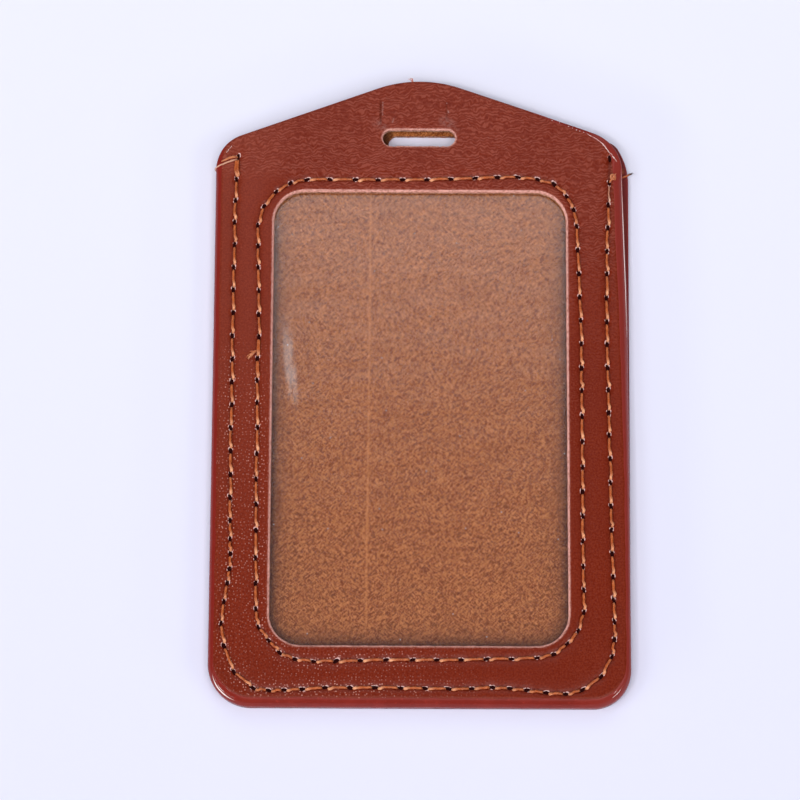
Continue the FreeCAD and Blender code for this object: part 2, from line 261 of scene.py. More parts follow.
def fill_area(outer, holes, points):
    """Triangles that fill a loop less its holes, through the given inner points."""
    coords, edges = [], []
    for loop in [outer] + holes:
        k, n = len(coords), len(loop)
        coords += [Vector((float(x), float(y))) for x, y in loop]
        edges += [(k + i, k + (i + 1) % n) for i in range(n)]
    coords += [Vector((float(x), float(y))) for x, y in points]
    got = delaunay_2d_cdt(coords, edges, [], 0, 1e-6, False)
    v = np.array([(c.x, c.y) for c in got[0]])
    t = np.array([list(f) for f in got[2] if len(f) == 3])
    mid = v[t].mean(1)
    keep = inside(mid, outer)
    for h in holes:
        keep &= ~inside(mid, h)
    t = t[keep]
    e, g = v[t[:, 1]] - v[t[:, 0]], v[t[:, 2]] - v[t[:, 0]]
    area = e[:, 0] * g[:, 1] - e[:, 1] * g[:, 0]
    span = np.maximum(np.maximum((e ** 2).sum(1), (g ** 2).sum(1)), ((e - g) ** 2).sum(1)) ** 0.5
    real = abs(area) / span > 1e-4
    t, area = t[real], area[real]
    t[area < 0] = t[area < 0][:, ::-1]
    used = np.unique(t)
    back = np.full(len(v), -1)
    back[used] = np.arange(len(used))
    return v[used], back[t]


def borders(tris):
    """Border loops of a triangle set, each with the surface on its left."""
    e = np.concatenate([tris[:, [0, 1]], tris[:, [1, 2]], tris[:, [2, 0]]])
    have = set(map(tuple, e.tolist()))
    nxt = {a: b for a, b in have if (b, a) not in have}
    loops = []
    while nxt:
        a = min(nxt)
        loop = [a]
        b = nxt.pop(a)
        while b != a:
            loop.append(b)
            b = nxt.pop(b)
        loops.append(loop)
    return loops


# ------------------------------------------------------------------- meshes
class Body:
    """Vertices, faces, material numbers and named vertex values of one piece."""

    def __init__(self):
        self.v, self.f, self.m, self.values = [], [], [], {}
        self.n = 0

    def add(self, pts, **values):
        pts = np.asarray(pts, float)
        base = self.n
        self.v.append(pts)
        self.n += len(pts)
        for k, x in values.items():
            self.values.setdefault(k, []).append((base, np.broadcast_to(np.asarray(x, float), (len(pts),))))
        return base

    def face(self, faces, mat=0):
        faces = [tuple(int(i) for i in f) for f in faces]
        self.f += faces
        self.m += [mat] * len(faces)

    def object(self, name, materials, angle=40.0):
        v = np.concatenate(self.v)
        me = bpy.data.meshes.new(name)
        me.from_pydata((v * MM).tolist(), [], self.f)
        for mat in materials:
            me.materials.append(mat)
        me.polygons.foreach_set("material_index", np.array(self.m, np.int32))
        me.polygons.foreach_set("use_smooth", np.ones(len(self.f), bool))
        me.update()
        import bmesh
        bm = bmesh.new()
        bm.from_mesh(me)
        bmesh.ops.recalc_face_normals(bm, faces=bm.faces[:])
        bm.to_mesh(me)
        bm.free()
        me.set_sharp_from_angle(angle=math.radians(angle))
        rest = me.attributes.new("rest", "FLOAT_VECTOR", "POINT")
        rest.data.foreach_set("vector", v.astype(np.float32).ravel())
        for key, runs in self.values.items():
            w = np.zeros(len(v), np.float32)
            for base, x in runs:
                w[base:base + len(x)] = x
            me.attributes.new(key, "FLOAT", "POINT").data.foreach_set("value", w)
        ob = bpy.data.objects.new(name, me)
        bpy.context.scene.collection.objects.link(ob)
        return ob


def sheet_body(outer, holes, points, top, walls, floor, up=1.0, values=None, top_mat=0, floor_mat=0, pick=None):
    """A closed sheet. top(xy) gives the shown face, walls(loop, z) the rows that lead
    down its borders as (offset into the gap, z, material), floor the z of the far face.
    up is not used."""
    xy, tris = fill_area(outer, holes, points)
    z = top(xy)
    b = Body()
    vals = values(xy) if values else {}
    base = b.add(np.column_stack([xy, z]), **vals)
    if pick is None:
        b.face(tris + base, top_mat)
    else:
        for f, mat in zip(tris + base, pick(xy[tris].mean(1))):
            b.face([f], int(mat))
    under = xy.copy()
    last = {}
    for loop in borders(tris):
        loop = np.array(loop)
        pts = xy[loop]
        out = -left_of(pts)
        prev = loop + base
        n = len(loop)
        rows = walls(pts, z[loop])
        for off, zz, mat in rows:
            q = pts + out * np.asarray(off).reshape(-1, 1) * np.ones((n, 1))
            row = b.add(np.column_stack([q, np.broadcast_to(zz, (n,))])) + np.arange(n)
            b.face([(prev[i], row[i], row[(i + 1) % n], prev[(i + 1) % n]) for i in range(n)], mat)
            prev = row
        for i, k in enumerate(loop):
            last[int(k)] = int(prev[i])
        under[loop] = q
    inner = np.array([k for k in range(len(xy)) if k not in last], int)
    nb = b.add(np.column_stack([under[inner], np.full(len(inner), floor)])) + np.arange(len(inner))
    to = np.full(len(xy), -1)
    to[inner] = nb
    for k, j in last.items():
        to[k] = j
    b.face(to[tris][:, ::-1], floor_mat)
    return b


# ------------------------------------------------------------------- threads
def curve(points, n):
    """Smooth line through the points, evenly spaced."""
    p = np.asarray(points, float)
    p = np.concatenate([[2 * p[0] - p[1]], p, [2 * p[-1] - p[-2]]])
    out = []
    for i in range(1, len(p) - 2):
        p0, p1, p2, p3 = p[i - 1:i + 3]
        t = np.linspace(0, 1, 12, endpoint=False)[:, None]
        out.append(0.5 * (2 * p1 + (p2 - p0) * t + (2 * p0 - 5 * p1 + 4 * p2 - p3) * t ** 2
                          + (3 * p1 - p0 - 3 * p2 + p3) * t ** 3))
    out.append(p[-2:-1])
    line = np.concatenate(out)
    s = np.concatenate([[0.0], np.cumsum(np.linalg.norm(np.diff(line, axis=0), axis=1))])
    t = np.linspace(0, s[-1], n)
    return np.stack([np.interp(t, s, line[:, k]) for k in range(3)], 1), t


def strand(b, points, radius, n=30, sides=14, plies=3, ply=0.13, lay=1.15, phase=0.0, flat=1.0, mat=0, **values):
    """Twisted thread along a line. radius may be a list of values spread along it."""
    line, s = curve(points, n)
    tan = np.gradient(line, axis=0)
    tan /= np.linalg.norm(tan, axis=1)[:, None]
    side = np.cross(tan[0], [0.0, 0.0, 1.0])
    if np.linalg.norm(side) < 0.2:
        k = n // 2
        side = np.cross(tan[k], [0.0, 0.0, 1.0])
        if np.linalg.norm(side) < 1e-6:
            side = np.array([1.0, 0.0, 0.0])
    side = side / np.linalg.norm(side)
    r = np.interp(np.linspace(0, 1, n), np.linspace(0, 1, np.size(radius)), np.atleast_1d(radius))
    th = np.linspace(0, 2 * math.pi, sides, endpoint=False)
    rings = []
    for i in range(n):
        side = side - tan[i] * (side @ tan[i])
        side /= np.linalg.norm(side)
        over = np.cross(side, tan[i])
        w = r[i] * (1.0 + ply * np.cos(plies * (th - phase) - 2 * math.pi * s[i] / lay))
        rings.append(line[i] + np.outer(w * np.cos(th), side) + np.outer(w * np.sin(th) * flat, over))
    pts = np.concatenate(rings + [line[:1], line[-1:]])
    vals = {k: (np.concatenate([np.repeat(np.interp(np.linspace(0, 1, n), np.linspace(0, 1, np.size(x)), np.atleast_1d(x)), sides),
                                [np.atleast_1d(x)[0], np.atleast_1d(x)[-1]]])) for k, x in values.items()}
    base = b.add(pts, **vals)
    faces = []
    for i in range(n - 1):
        for k in range(sides):
            j = (k + 1) % sides
            faces.append((base + i * sides + k, base + i * sides + j, base + (i + 1) * sides + j, base + (i + 1) * sides + k))
    a, z = base + n * sides, base + n * sides + 1
    for k in range(sides):
        j = (k + 1) % sides
        faces.append((a, base + j, base + k))
        faces.append((z, base + (n - 1) * sides + k, base + (n - 1) * sides + j))
    b.face(faces, mat)


# ---------------------------------------------------------------- front face
FRONT_LOOP = rounded(FRONT, 0.30)
BACK_LOOP = rounded(BACK, 0.30)
WINDOW_LOOP = rounded(WINDOW, 0.40)
SLOT_F = slot_loop(SLOT_FRONT, 0.22)
SLOT_B = slot_loop(SLOT_BACK, 0.22)
SIDE_RINGS = needle_holes(SIDE_HOLES, False, 0.60, 0.30, 5)
WINDOW_RINGS = needle_holes(WINDOW_HOLES, True, 0.57, 0.29, 6)
ALL_RINGS = SIDE_RINGS + WINDOW_RINGS
HOLE_C = np.array([r[0] for r in ALL_RINGS])
HOLE_U = np.array([r[1] for r in ALL_RINGS])
HOLE_AB = np.array([(r[3], r[4]) for r in ALL_RINGS])


def lip_width(xy):
    """How far the edge coating reaches in over the face."""
    x, y = xy[:, 0], xy[:, 1]
    side = np.where(x < 0.0, 0.95, 0.85 + 0.80 * smooth(-25.0, 30.0, y))
    w = side + (1.30 - side) * smooth(-46.5, -53.0, y)
    crown = np.where(x < 0.0, 0.15, 0.15 + 0.50 * smooth(17.0, 26.0, x) + 0.55 * smooth(27.5, 31.0, x))
    return w + (crown - w) * smooth(39.0, 44.0, y)


def hole_field(xy):
    """Scaled distance to the nearest needle hole's rim (0 at the rim, in mm), its number, and the angle round it."""
    best = np.full(len(xy), 9.0)
    which = np.zeros(len(xy), int)
    ang = np.zeros(len(xy))
    for i in range(len(HOLE_C)):
        near = np.nonzero((abs(xy[:, 0] - HOLE_C[i, 0]) < 2.2) & (abs(xy[:, 1] - HOLE_C[i, 1]) < 2.2))[0]
        if not len(near):
            continue
        d = xy[near] - HOLE_C[i]
        u = HOLE_U[i]
        x, y = d @ u, d @ np.array([-u[1], u[0]])
        r = np.hypot(x / HOLE_AB[i, 0], y / HOLE_AB[i, 1])
        q = (r - 1.0) * (HOLE_AB[i].mean())
        take = q < best[near]
        best[near[take]] = q[take]
        which[near[take]] = i
        ang[near[take]] = np.arctan2(d[take, 1], d[take, 0])
    return best, which, ang


TORN_GLINT_SIDE = RNG.uniform(0.0, 6.28, len(HOLE_C))
TORN_GLINT_AMT = RNG.uniform(0.5, 1.15, len(HOLE_C))


def torn_rim_glint(q, which, ang):
    """0 to 1 where the punched rim has come up pale, plus a painted glint where it faces the light on its upper right
    side.
    """
    def ear(at, wide):
        a = (ang - at + math.pi) % (2.0 * math.pi) - math.pi
        return np.exp(-(a / wide) ** 2)

    lean = np.maximum(1.15 * ear(0.85, 0.55) * TORN_GLINT_AMT[which], 0.95 * ear(2.35, 0.45) * (1.6 - TORN_GLINT_AMT[which]))
    lean = np.maximum(lean, 0.75 * ear(TORN_GLINT_SIDE[which], 0.5))
    return np.clip(lean, 0.0, 1.3) * np.exp(-(np.maximum(q, 0.0) / 0.19) ** 2)


def bevel(xy, lip):
    """How far the edge is pressed to a bevel, from 0 on the crown to 1 on the sides and foot, and the bevel's slope."""
    return smooth(0.3, 0.85, lip) * (1.0 - smooth(36.5, 40.8, xy[:, 1])), np.minimum(1.0, 1.35 / (lip + 0.1))


def front_top(xy):
    d, s = nearest(xy, FRONT_LOOP)
    lip = lip_width(xy)
    reach, fall = lip + 0.30, 0.35 + 0.40 * smooth(0.3, 0.95, lip)
    t = np.clip((reach - d) / reach, 0.0, 1.0)
    share, slope = bevel(xy, lip)
    u = lip + 0.10 - d
    z = Z_TOP - (1.0 - share) * fall * (1.0 - np.sqrt(np.maximum(1.0 - t * t, 0.0)))
    u = 0.5 * (u + np.sqrt(u * u + 0.014))
    z -= share * slope * (0.58 * u + 0.18 * u * u)
    z += 0.045 * fbm(xy, 0.055, 3.1) + 0.012 * fbm(xy, 0.31, 8.7)
    a, _ = nearest(xy, SIDE_HOLES, False)
    w, _ = nearest(xy, WINDOW_HOLES, True)
    seam = np.minimum(a, w)
    z -= 0.085 * np.exp(-(seam / 0.50) ** 2) + 0.085 * np.exp(-(seam / 1.5) ** 2)
    q, which, ang = hole_field(xy)
    z -= 0.16 * np.exp(-(np.maximum(q, 0.0) / 0.34) ** 2)
    z += 0.10 * torn_rim_glint(q, which, ang)
    dw, _ = nearest(xy, WINDOW_LOOP)
    z -= 0.05 * np.exp(-(dw / 0.35) ** 2)
    ds, _ = nearest(xy, SLOT_F)
    z -= 0.10 * np.exp(-(ds / 0.30) ** 2)
    for x, y1, y0, depth in MARKS:
        run = smooth(y0 - 0.5, y0 + 0.4, xy[:, 1]) * (1.0 - smooth(y1 - 0.4, y1 + 0.5, xy[:, 1]))
        o = xy[:, 0] - x
        z += run * (-depth * np.exp(-(o / 0.13) ** 2) + 0.45 * depth * np.exp(-((o - 0.33) / 0.2) ** 2)
                    + 0.25 * depth * np.exp(-((o + 0.35) / 0.2) ** 2))
    return z


def front_points():
    lip = lip_width(FRONT_LOOP)
    inset = lip * (0.6 + 0.25 * bevel(FRONT_LOOP, lip)[0])
    outer = resample(FRONT_LOOP + left_of(FRONT_LOOP) * inset[:, None], 0.36)
    holes = [WINDOW_LOOP[::-1], SLOT_F[::-1]] + [r[2](0.0, 16)[::-1] for r in ALL_RINGS]
    c = Cloud()
    for loop in [outer] + holes:
        c.add(loop, 0.0)
    skip = len(c.pts)
    for r in ALL_RINGS:
        c.add(r[2](0.06, 16), 0.04)
        c.add(r[2](0.15, 16), 0.05)
        c.add(r[2](0.29, 16), 0.08)
        c.add(r[2](0.52, 12), 0.12)
    for o in (0.10, 0.24, 0.42, 0.66, 0.95):
        c.add(resample(outer + left_of(outer) * o, 0.42), 0.09)
    for o in (0.08, 0.22, 0.44, 0.75):
        c.add(resample(WINDOW_LOOP - left_of(WINDOW_LOOP) * o, 0.42), 0.07)
        c.add(resample(SLOT_F - left_of(SLOT_F) * o, 0.24), 0.07)
    for (x0, y0), (x1, y1), wide, _ in SCUFFS:
        if wide < 0.2:
            g = np.stack(np.meshgrid(np.linspace(-0.25, 0.25, 5), np.linspace(-0.2, 1.2, 8)), -1).reshape(-1, 2)
            along = np.array([x1 - x0, y1 - y0])
            n = np.array([-along[1], along[0]]) / np.linalg.norm(along)
            c.add(np.array([x0, y0]) + np.outer(g[:, 1], along) + np.outer(g[:, 0], n), 0.07)
    for x, y1, y0, _ in MARKS:
        ys = np.arange(y0 - 0.7, y1 + 0.8, 0.3)
        for o in (0.0, -0.12, 0.12, -0.24, 0.24, -0.38, 0.38, -0.6, 0.6):
            c.add(np.stack([np.full(len(ys), x + o), ys], 1), 0.08)
    for holes_, closed in ((SIDE_HOLES, False), (WINDOW_HOLES, True)):
        line = resample(holes_, 0.45, closed)
        if closed:
            n = left_of(line)
        else:
            t = np.gradient(line, axis=0)
            t /= np.linalg.norm(t, axis=1)[:, None]
            n = np.stack([-t[:, 1], t[:, 0]], 1)
        for o in (0.0, 0.3, -0.3, 0.6, -0.6, 1.0, -1.0):
            c.add(line + n * o, 0.24)
    f = hexfill(outer, 0.85)
    c.add(f, 0.5)
    pts = np.array(c.pts[skip:])
    ok = inside(pts, outer)
    for h in holes:
        ok &= ~inside(pts, h)
    pts = pts[ok]
    near = nearest(pts, outer)[0] > 0.05
    near &= nearest(pts, WINDOW_LOOP)[0] > 0.04
    near &= nearest(pts, SLOT_F)[0] > 0.04
    return outer, holes, pts[near]


def loop_kind(pts):
    w, h = pts.max(0) - pts.min(0)
    return "outer" if w > 60.0 else "window" if w > 40.0 else "slot" if w > 8.0 else "hole"


def ragged(n, amount, seed, reach=3):
    """Uneven values round a loop."""
    r = np.random.default_rng(seed).normal(0.0, 1.0, n)
    k = np.exp(-np.linspace(-2, 2, 2 * reach + 1) ** 2)
    r = np.convolve(np.concatenate([r[-reach:], r, r[:reach]]), k / np.sqrt((k ** 2).sum()), "valid")
    return amount * r


def front_walls(pts, z):
    kind = loop_kind(pts)
    n = len(pts)
    if kind == "outer":
        return [(0.0, Z_BOARD + 0.05, 0), (0.0, Z_BOARD, 0)]
    if kind == "window":
        j = ragged(n, 0.026, 21)
        return [(0.05 + j, z - 0.02, 1), (0.15 + j, z - 0.12, 1), (0.25 + j * 1.4, z - 0.26, 1), (0.31 + j, Z_BOARD + 0.06, 1), (0.31, Z_BOARD, 1)]
    if kind == "slot":
        j, k = ragged(n, 0.035, 22, 2), ragged(n, 0.03, 23, 1)
        return [(0.05 + j * 0.7, z - 0.01 + k * 0.6, 1), (0.13 + j, z - 0.10 + k, 1), (0.20 + j + k, z - 0.24 + k, 1), (0.22 + j, Z_BOARD + 0.05, 1), (0.20, Z_BOARD, 1)]
    return [(0.03, z - 0.06, 2), (0.06, z - 0.2, 2), (0.06, Z_BOARD, 2)]


def front_values(xy):
    q, which, ang = hole_field(xy)
    dw = nearest(xy, WINDOW_LOOP)[0]
    ds = nearest(xy, SLOT_F)[0]
    a = nearest(xy, SIDE_HOLES, False)[0]
    w = nearest(xy, WINDOW_HOLES, True)[0]
    mark = np.zeros(len(xy))
    for x, y1, y0, depth in MARKS:
        run = smooth(y0 - 0.5, y0 + 0.4, xy[:, 1]) * (1.0 - smooth(y1 - 0.4, y1 + 0.5, xy[:, 1]))
        mark = np.maximum(mark, run * np.exp(-((xy[:, 0] - x) / 0.14) ** 2) * depth / 0.075)
    scuff = np.zeros(len(xy))
    for (x0, y0), (x1, y1), wide, amount in SCUFFS:
        d = nearest(xy, np.array([(x0, y0), (x1, y1)]), False)[0]
        scuff = np.maximum(scuff, amount * np.exp(-(d / wide) ** 2))
    return {"torn": torn_rim_glint(q, which, ang),
            "scuff": scuff,
            "cut": np.maximum(np.exp(-(dw / 0.10) ** 2), np.exp(-(ds / 0.12) ** 2)),
            "seam": np.exp(-(np.minimum(a, w) / 0.36) ** 2),
            "near": np.exp(-(np.minimum(a, w) / 1.6) ** 2),
            "mark": mark}


# ----------------------------------------------------------------- materials
class Mat:
    """Small helper for building node materials."""

    def __init__(self, name):
        self.m = bpy.data.materials.new(name)
        self.m.use_nodes = True
        self.t = self.m.node_tree
        self.t.nodes.clear()
        self.out = self.t.nodes.new("ShaderNodeOutputMaterial")

    def node(self, kind, ins=None, **props):
        n = self.t.nodes.new(kind)
        for k, v in props.items():
            setattr(n, k, v)
        for k, v in (ins or {}).items():
            self.put(n.inputs[k], v)
        return n

    def put(self, socket, v):
        if isinstance(v, bpy.types.NodeSocket):
            self.t.links.new(v, socket)
        else:
            socket.default_value = v

    def math(self, op, a, b=0.0, c=0.0, clamp=False):
        n = self.node("ShaderNodeMath", {0: a, 1: b, 2: c}, operation=op)
        n.use_clamp = clamp
        return n.outputs[0]

    def rng(self, v, a, b, c=0.0, d=1.0, kind="SMOOTHSTEP"):
        n = self.node("ShaderNodeMapRange", {0: v, 1: a, 2: b, 3: c, 4: d}, interpolation_type=kind)
        return n.outputs[0]

    def mix(self, f, a, b, how="MIX"):
        n = self.node("ShaderNodeMix", data_type="RGBA", blend_type=how)
        self.put(n.inputs[0], f)
        for s, v in ((n.inputs[6], a), (n.inputs[7], b)):
            self.put(s, v if isinstance(v, bpy.types.NodeSocket) else (*v, 1.0))
        return n.outputs[2]

    def attr(self, name, out="Fac"):
        return self.node("ShaderNodeAttribute", attribute_name=name).outputs[out]

    def rest(self):
        return self.attr("rest", "Vector")

    def cad(self):
        c = self.node("ShaderNodeTexCoord").outputs["Object"]
        return self.map(c, (1000.0, 1000.0, 1000.0))

    def map(self, v, scale=(1, 1, 1), turn=0.0, move=(0, 0, 0)):
        """Turn about z, then stretch and shift."""
        if turn:
            v = self.node("ShaderNodeMapping", {"Vector": v, "Rotation": (0, 0, turn)}).outputs[0]
        return self.node("ShaderNodeMapping", {"Vector": v, "Scale": scale, "Location": move}).outputs[0]

    def wave(self, v, period, warp, detail_scale, detail=1.0):
        """Wavy lines across y, one per period in millimetres."""
        return self.node("ShaderNodeTexWave", {"Vector": v, "Scale": 2.0 * math.pi / (20.0 * period), "Distortion": warp, "Detail": detail,
                                               "Detail Scale": detail_scale, "Detail Roughness": 0.5},
                         wave_type="BANDS", bands_direction="Y", wave_profile="SIN").outputs["Fac"]

    def noise(self, v, scale, detail=2.0, rough=0.5, warp=0.0, out=0):
        return self.node("ShaderNodeTexNoise", {"Vector": v, "Scale": scale, "Detail": detail, "Roughness": rough,
                                                "Distortion": warp}).outputs[out]

    def cells(self, v, scale, feature="F1", rand=1.0, smoothness=None, dims="3D"):
        n = self.node("ShaderNodeTexVoronoi", {"Vector": v, "Scale": scale, "Randomness": rand}, feature=feature, voronoi_dimensions=dims)
        if smoothness is not None:
            n.inputs["Smoothness"].default_value = smoothness
        return n.outputs["Distance"]

    def shift(self, v, by, amount):
        d = self.node("ShaderNodeVectorMath", {0: by, 1: (0.5, 0.5, 0.5)}, operation="SUBTRACT").outputs[0]
        d = self.node("ShaderNodeVectorMath", {0: d}, operation="SCALE")
        d.inputs["Scale"].default_value = amount
        return self.node("ShaderNodeVectorMath", {0: v, 1: d.outputs[0]}, operation="ADD").outputs[0]

    def bump(self, height, strength=1.0, normal=None):
        """height in millimetres."""
        n = self.node("ShaderNodeBump", {"Height": height, "Strength": strength, "Distance": MM})
        if normal is not None:
            self.put(n.inputs["Normal"], normal)
        return n.outputs[0]

    def surface(self, **ins):
        n = self.t.nodes.new("ShaderNodeBsdfPrincipled")
        for k, v in ins.items():
            k = k.replace("_", " ")
            if isinstance(v, tuple) and len(v) == 3 and n.inputs[k].type == "RGBA":
                v = (*v, 1.0)
            self.put(n.inputs[k], v)
        self.t.links.new(n.outputs[0], self.out.inputs[0])
        return n


def leather(name, dark, light, painted_sheen, gloss, grain=1.0, detail=True):
    m = Mat(name)
    p = m.rest()
    x, y = m.node("ShaderNodeSeparateXYZ", {0: p}).outputs[:2]
    where = m.math("ADD", y, m.math("MULTIPLY", m.math("SUBTRACT", m.noise(p, 0.05, 2.0), 0.5), 40.0))
    ribbed = where
    if detail:
        ribbed = m.math("SUBTRACT", where, m.math("MULTIPLY", m.rng(x, -15.0, -24.0, 0.0, 30.0), m.rng(y, 43.0, 35.0)))
    # embossed grain: close zig-zag ridges that run across the piece, and pebbles that take over lower down
    q = m.shift(p, m.noise(p, 0.07, 0.0, out=1), 2.0)
    q = m.shift(q, m.noise(m.map(p, (0.40, 0.28, 1.0)), 1.0, 0.0, out=1), 1.6)
    q = m.shift(q, m.noise(m.map(p, (1.30, 0.90, 1.0)), 1.0, 0.0, out=1), 0.95)
    q = m.shift(q, m.noise(m.map(p, (2.60, 1.60, 1.0), 0.0, (3.0, 5.0, 0.0)), 1.0, 0.0, out=1), 0.30)
    worm = m.wave(q, 0.60, 0.0, 1.0, 0.0)
    broken = m.noise(m.map(q, (1.05, 1.4, 1.0)), 1.0, 1.0)
    ridge = m.math("MULTIPLY", m.rng(worm, 0.08, 0.92), m.rng(broken, 0.34, 0.62, 0.32, 1.0))
    ridge = m.math("ADD", ridge, m.rng(broken, 0.36, 0.64, 0.0, 0.20), clamp=True)
    d = m.cells(p, 1.6, "F1", 0.75, dims="2D")
    dome = m.math("SUBTRACT", 1.0, m.math("MULTIPLY", m.math("MULTIPLY", d, d), 12.0), clamp=True)
    fine = m.noise(p, 3.2, 2.0, 0.6)
    broad = m.noise(p, 0.06, 3.0, 0.55)
    up = m.rng(ribbed, 0.0, 32.0)
    h = m.math("MULTIPLY", ridge, m.rng(up, 0.0, 1.0, 0.002 * grain, 0.030 * grain))
    h = m.math("ADD", h, m.math("MULTIPLY", dome, m.rng(where, 32.0, -4.0, 0.004 * grain, 0.012 * grain)))
    h = m.math("ADD", h, m.math("MULTIPLY", fine, 0.006 * grain))
    tone = m.math("MULTIPLY", m.rng(fine, 0.30, 0.70), m.rng(up, 0.0, 1.0, 0.72, 0.45))
    col = m.mix(tone, dark, light)
    # embossed ridges are mixed towards the sheen colour: painted sheen on the grain, stronger on the crown
    col = m.mix(m.math("MULTIPLY", ridge, m.rng(up, 0.0, 1.0, 0.04, 0.72)), col, painted_sheen)
    col = m.mix(m.rng(broad, 0.38, 0.68, 0.0, 0.14), col, tuple(c * 0.72 for c in dark))
    if detail:
        # painted light and shade: the left side is mixed paler towards the sheen colour, the right side and the foot
        # deeper towards the dark colour
        col = m.mix(m.math("MULTIPLY", m.rng(x, -20.0, -29.0, 0.0, 0.17), m.rng(y, -46.0, 16.0, 0.10, 1.0)), col, painted_sheen)
        col = m.mix(m.math("MAXIMUM", m.rng(x, 6.0, 30.0, 0.0, 0.13), m.rng(y, -44.0, -49.0, 0.0, 0.20)), col, dark)
    rough = m.rng(m.math("ADD", m.math("MULTIPLY", fine, 0.5), m.math("MULTIPLY", broad, 0.5)), 0.3, 0.7, gloss - 0.05, gloss + 0.06)
    if detail:
        # pale specks on the pebbles near the seams, mostly lower left: painted glints of the grain
        pale_highlight = m.math("MULTIPLY", m.rng(dome, 0.45, 0.85), m.rng(m.noise(p, 0.95, 2.0), 0.40, 0.70, 0.12, 1.0))
        pale_highlight = m.math("MULTIPLY", m.math("MULTIPLY", pale_highlight, m.rng(m.attr("near"), 0.0, 1.0, 0.25, 1.0)), m.math("MULTIPLY", m.rng(where, 14.0, -10.0), m.rng(x, 18.0, -14.0, 0.03, 1.0)))
        col = m.mix(m.math("MULTIPLY", pale_highlight, 0.85), col, (0.74, 0.36, 0.29))
        # darker along the seam line beside the thread: painted shade
        col = m.mix(m.math("MULTIPLY", m.attr("seam"), 0.55), col, tuple(x * 0.45 for x in dark))
        # pale rims of the needle holes, torn up and leaning to the upper right as a painted glint
        torn = m.rng(m.math("MULTIPLY", m.attr("torn"), m.rng(m.noise(p, 6.0, 2.0), 0.25, 0.6, 0.5, 1.15)), 0.18, 0.50)
        col = m.mix(m.math("MULTIPLY", torn, 0.95), col, (0.80, 0.50, 0.47))
        cut = m.math("MULTIPLY", m.attr("cut"), m.rng(m.noise(p, 3.0, 2.0), 0.35, 0.6))
        col = m.mix(m.math("MULTIPLY", cut, 0.6), col, (0.56, 0.24, 0.19))
        col = m.mix(m.math("MULTIPLY", m.attr("mark"), 0.7), col, (0.045, 0.006, 0.003))
        col = m.mix(m.math("MULTIPLY", m.attr("scuff"), m.rng(m.noise(p, 1.6, 3.0, 0.7), 0.36, 0.62)), col, (0.34, 0.19, 0.17))
        rough = m.math("ADD", rough, m.math("MULTIPLY", torn, 0.15))
    m.surface(Base_Color=col, Roughness=rough, IOR=1.5, Specular_IOR_Level=0.13, Normal=m.bump(h))
    return m.m


def cut_leather(name):
    """Pale fibrous cut of the skin."""
    m = Mat(name)
    p = m.rest()
    n1 = m.noise(m.map(p, (2.2, 2.2, 4.5)), 1.0, 3.0, 0.65)
    n2 = m.noise(p, 7.0, 3.0, 0.7)
    col = m.mix(m.rng(n1, 0.30, 0.62), (0.38, 0.130, 0.092), (0.76, 0.365, 0.31))
    col = m.mix(m.rng(n2, 0.52, 0.72, 0.0, 0.8), col, (0.90, 0.60, 0.55))
    h = m.math("ADD", m.math("MULTIPLY", n1, 0.05), m.math("MULTIPLY", n2, 0.035))
    m.surface(Base_Color=col, Roughness=0.78, IOR=1.45, Normal=m.bump(h))
    return m.m


# near-black for the walls of the needle holes: painted shade inside the narrow holes
def hole_dark(name):
    m = Mat(name)
    n = m.noise(m.rest(), 4.0, 2.0)
    m.surface(Base_Color=m.mix(n, (0.012, 0.0010, 0.0012), (0.034, 0.0030, 0.0034)), Roughness=0.8, Specular_IOR_Level=0.05)
    return m.m


def paint(name, base, dark, gloss=0.24):
    m = Mat(name)
    p = m.rest()
    n1 = m.noise(p, 0.25, 3.0, 0.6)
    n2 = m.noise(m.map(p, (1.6, 1.6, 3.0)), 1.0, 2.0, 0.55)
    n3 = m.noise(p, 6.0, 2.0, 0.5)
    col = m.mix(m.rng(n1, 0.3, 0.7), base, dark)
    col = m.mix(m.rng(n2, 0.58, 0.75, 0.0, 0.5), col, tuple(min(1.0, x * 1.5) for x in base))
    x = m.node("ShaderNodeSeparateXYZ", {0: p}).outputs[0]
    # painted light and shade: the edge coating is paler towards the right side and deeper towards the left
    col = m.mix(m.rng(x, 26.0, 33.5, 0.0, 0.9), col, (base[0] * 1.10, base[1] * 1.34, base[2] * 1.50))
    col = m.mix(m.rng(x, -28.0, -33.5, 0.0, 0.9), col, (base[0] * 0.93, base[1] * 0.74, base[2] * 0.72))
    h = m.math("ADD", m.math("MULTIPLY", n2, 0.010), m.math("MULTIPLY", n3, 0.002))
    m.surface(Base_Color=col, Roughness=m.rng(n2, 0.3, 0.7, gloss - 0.06, gloss + 0.10), IOR=1.5, Specular_IOR_Level=0.16, Normal=m.bump(h))
    return m.m


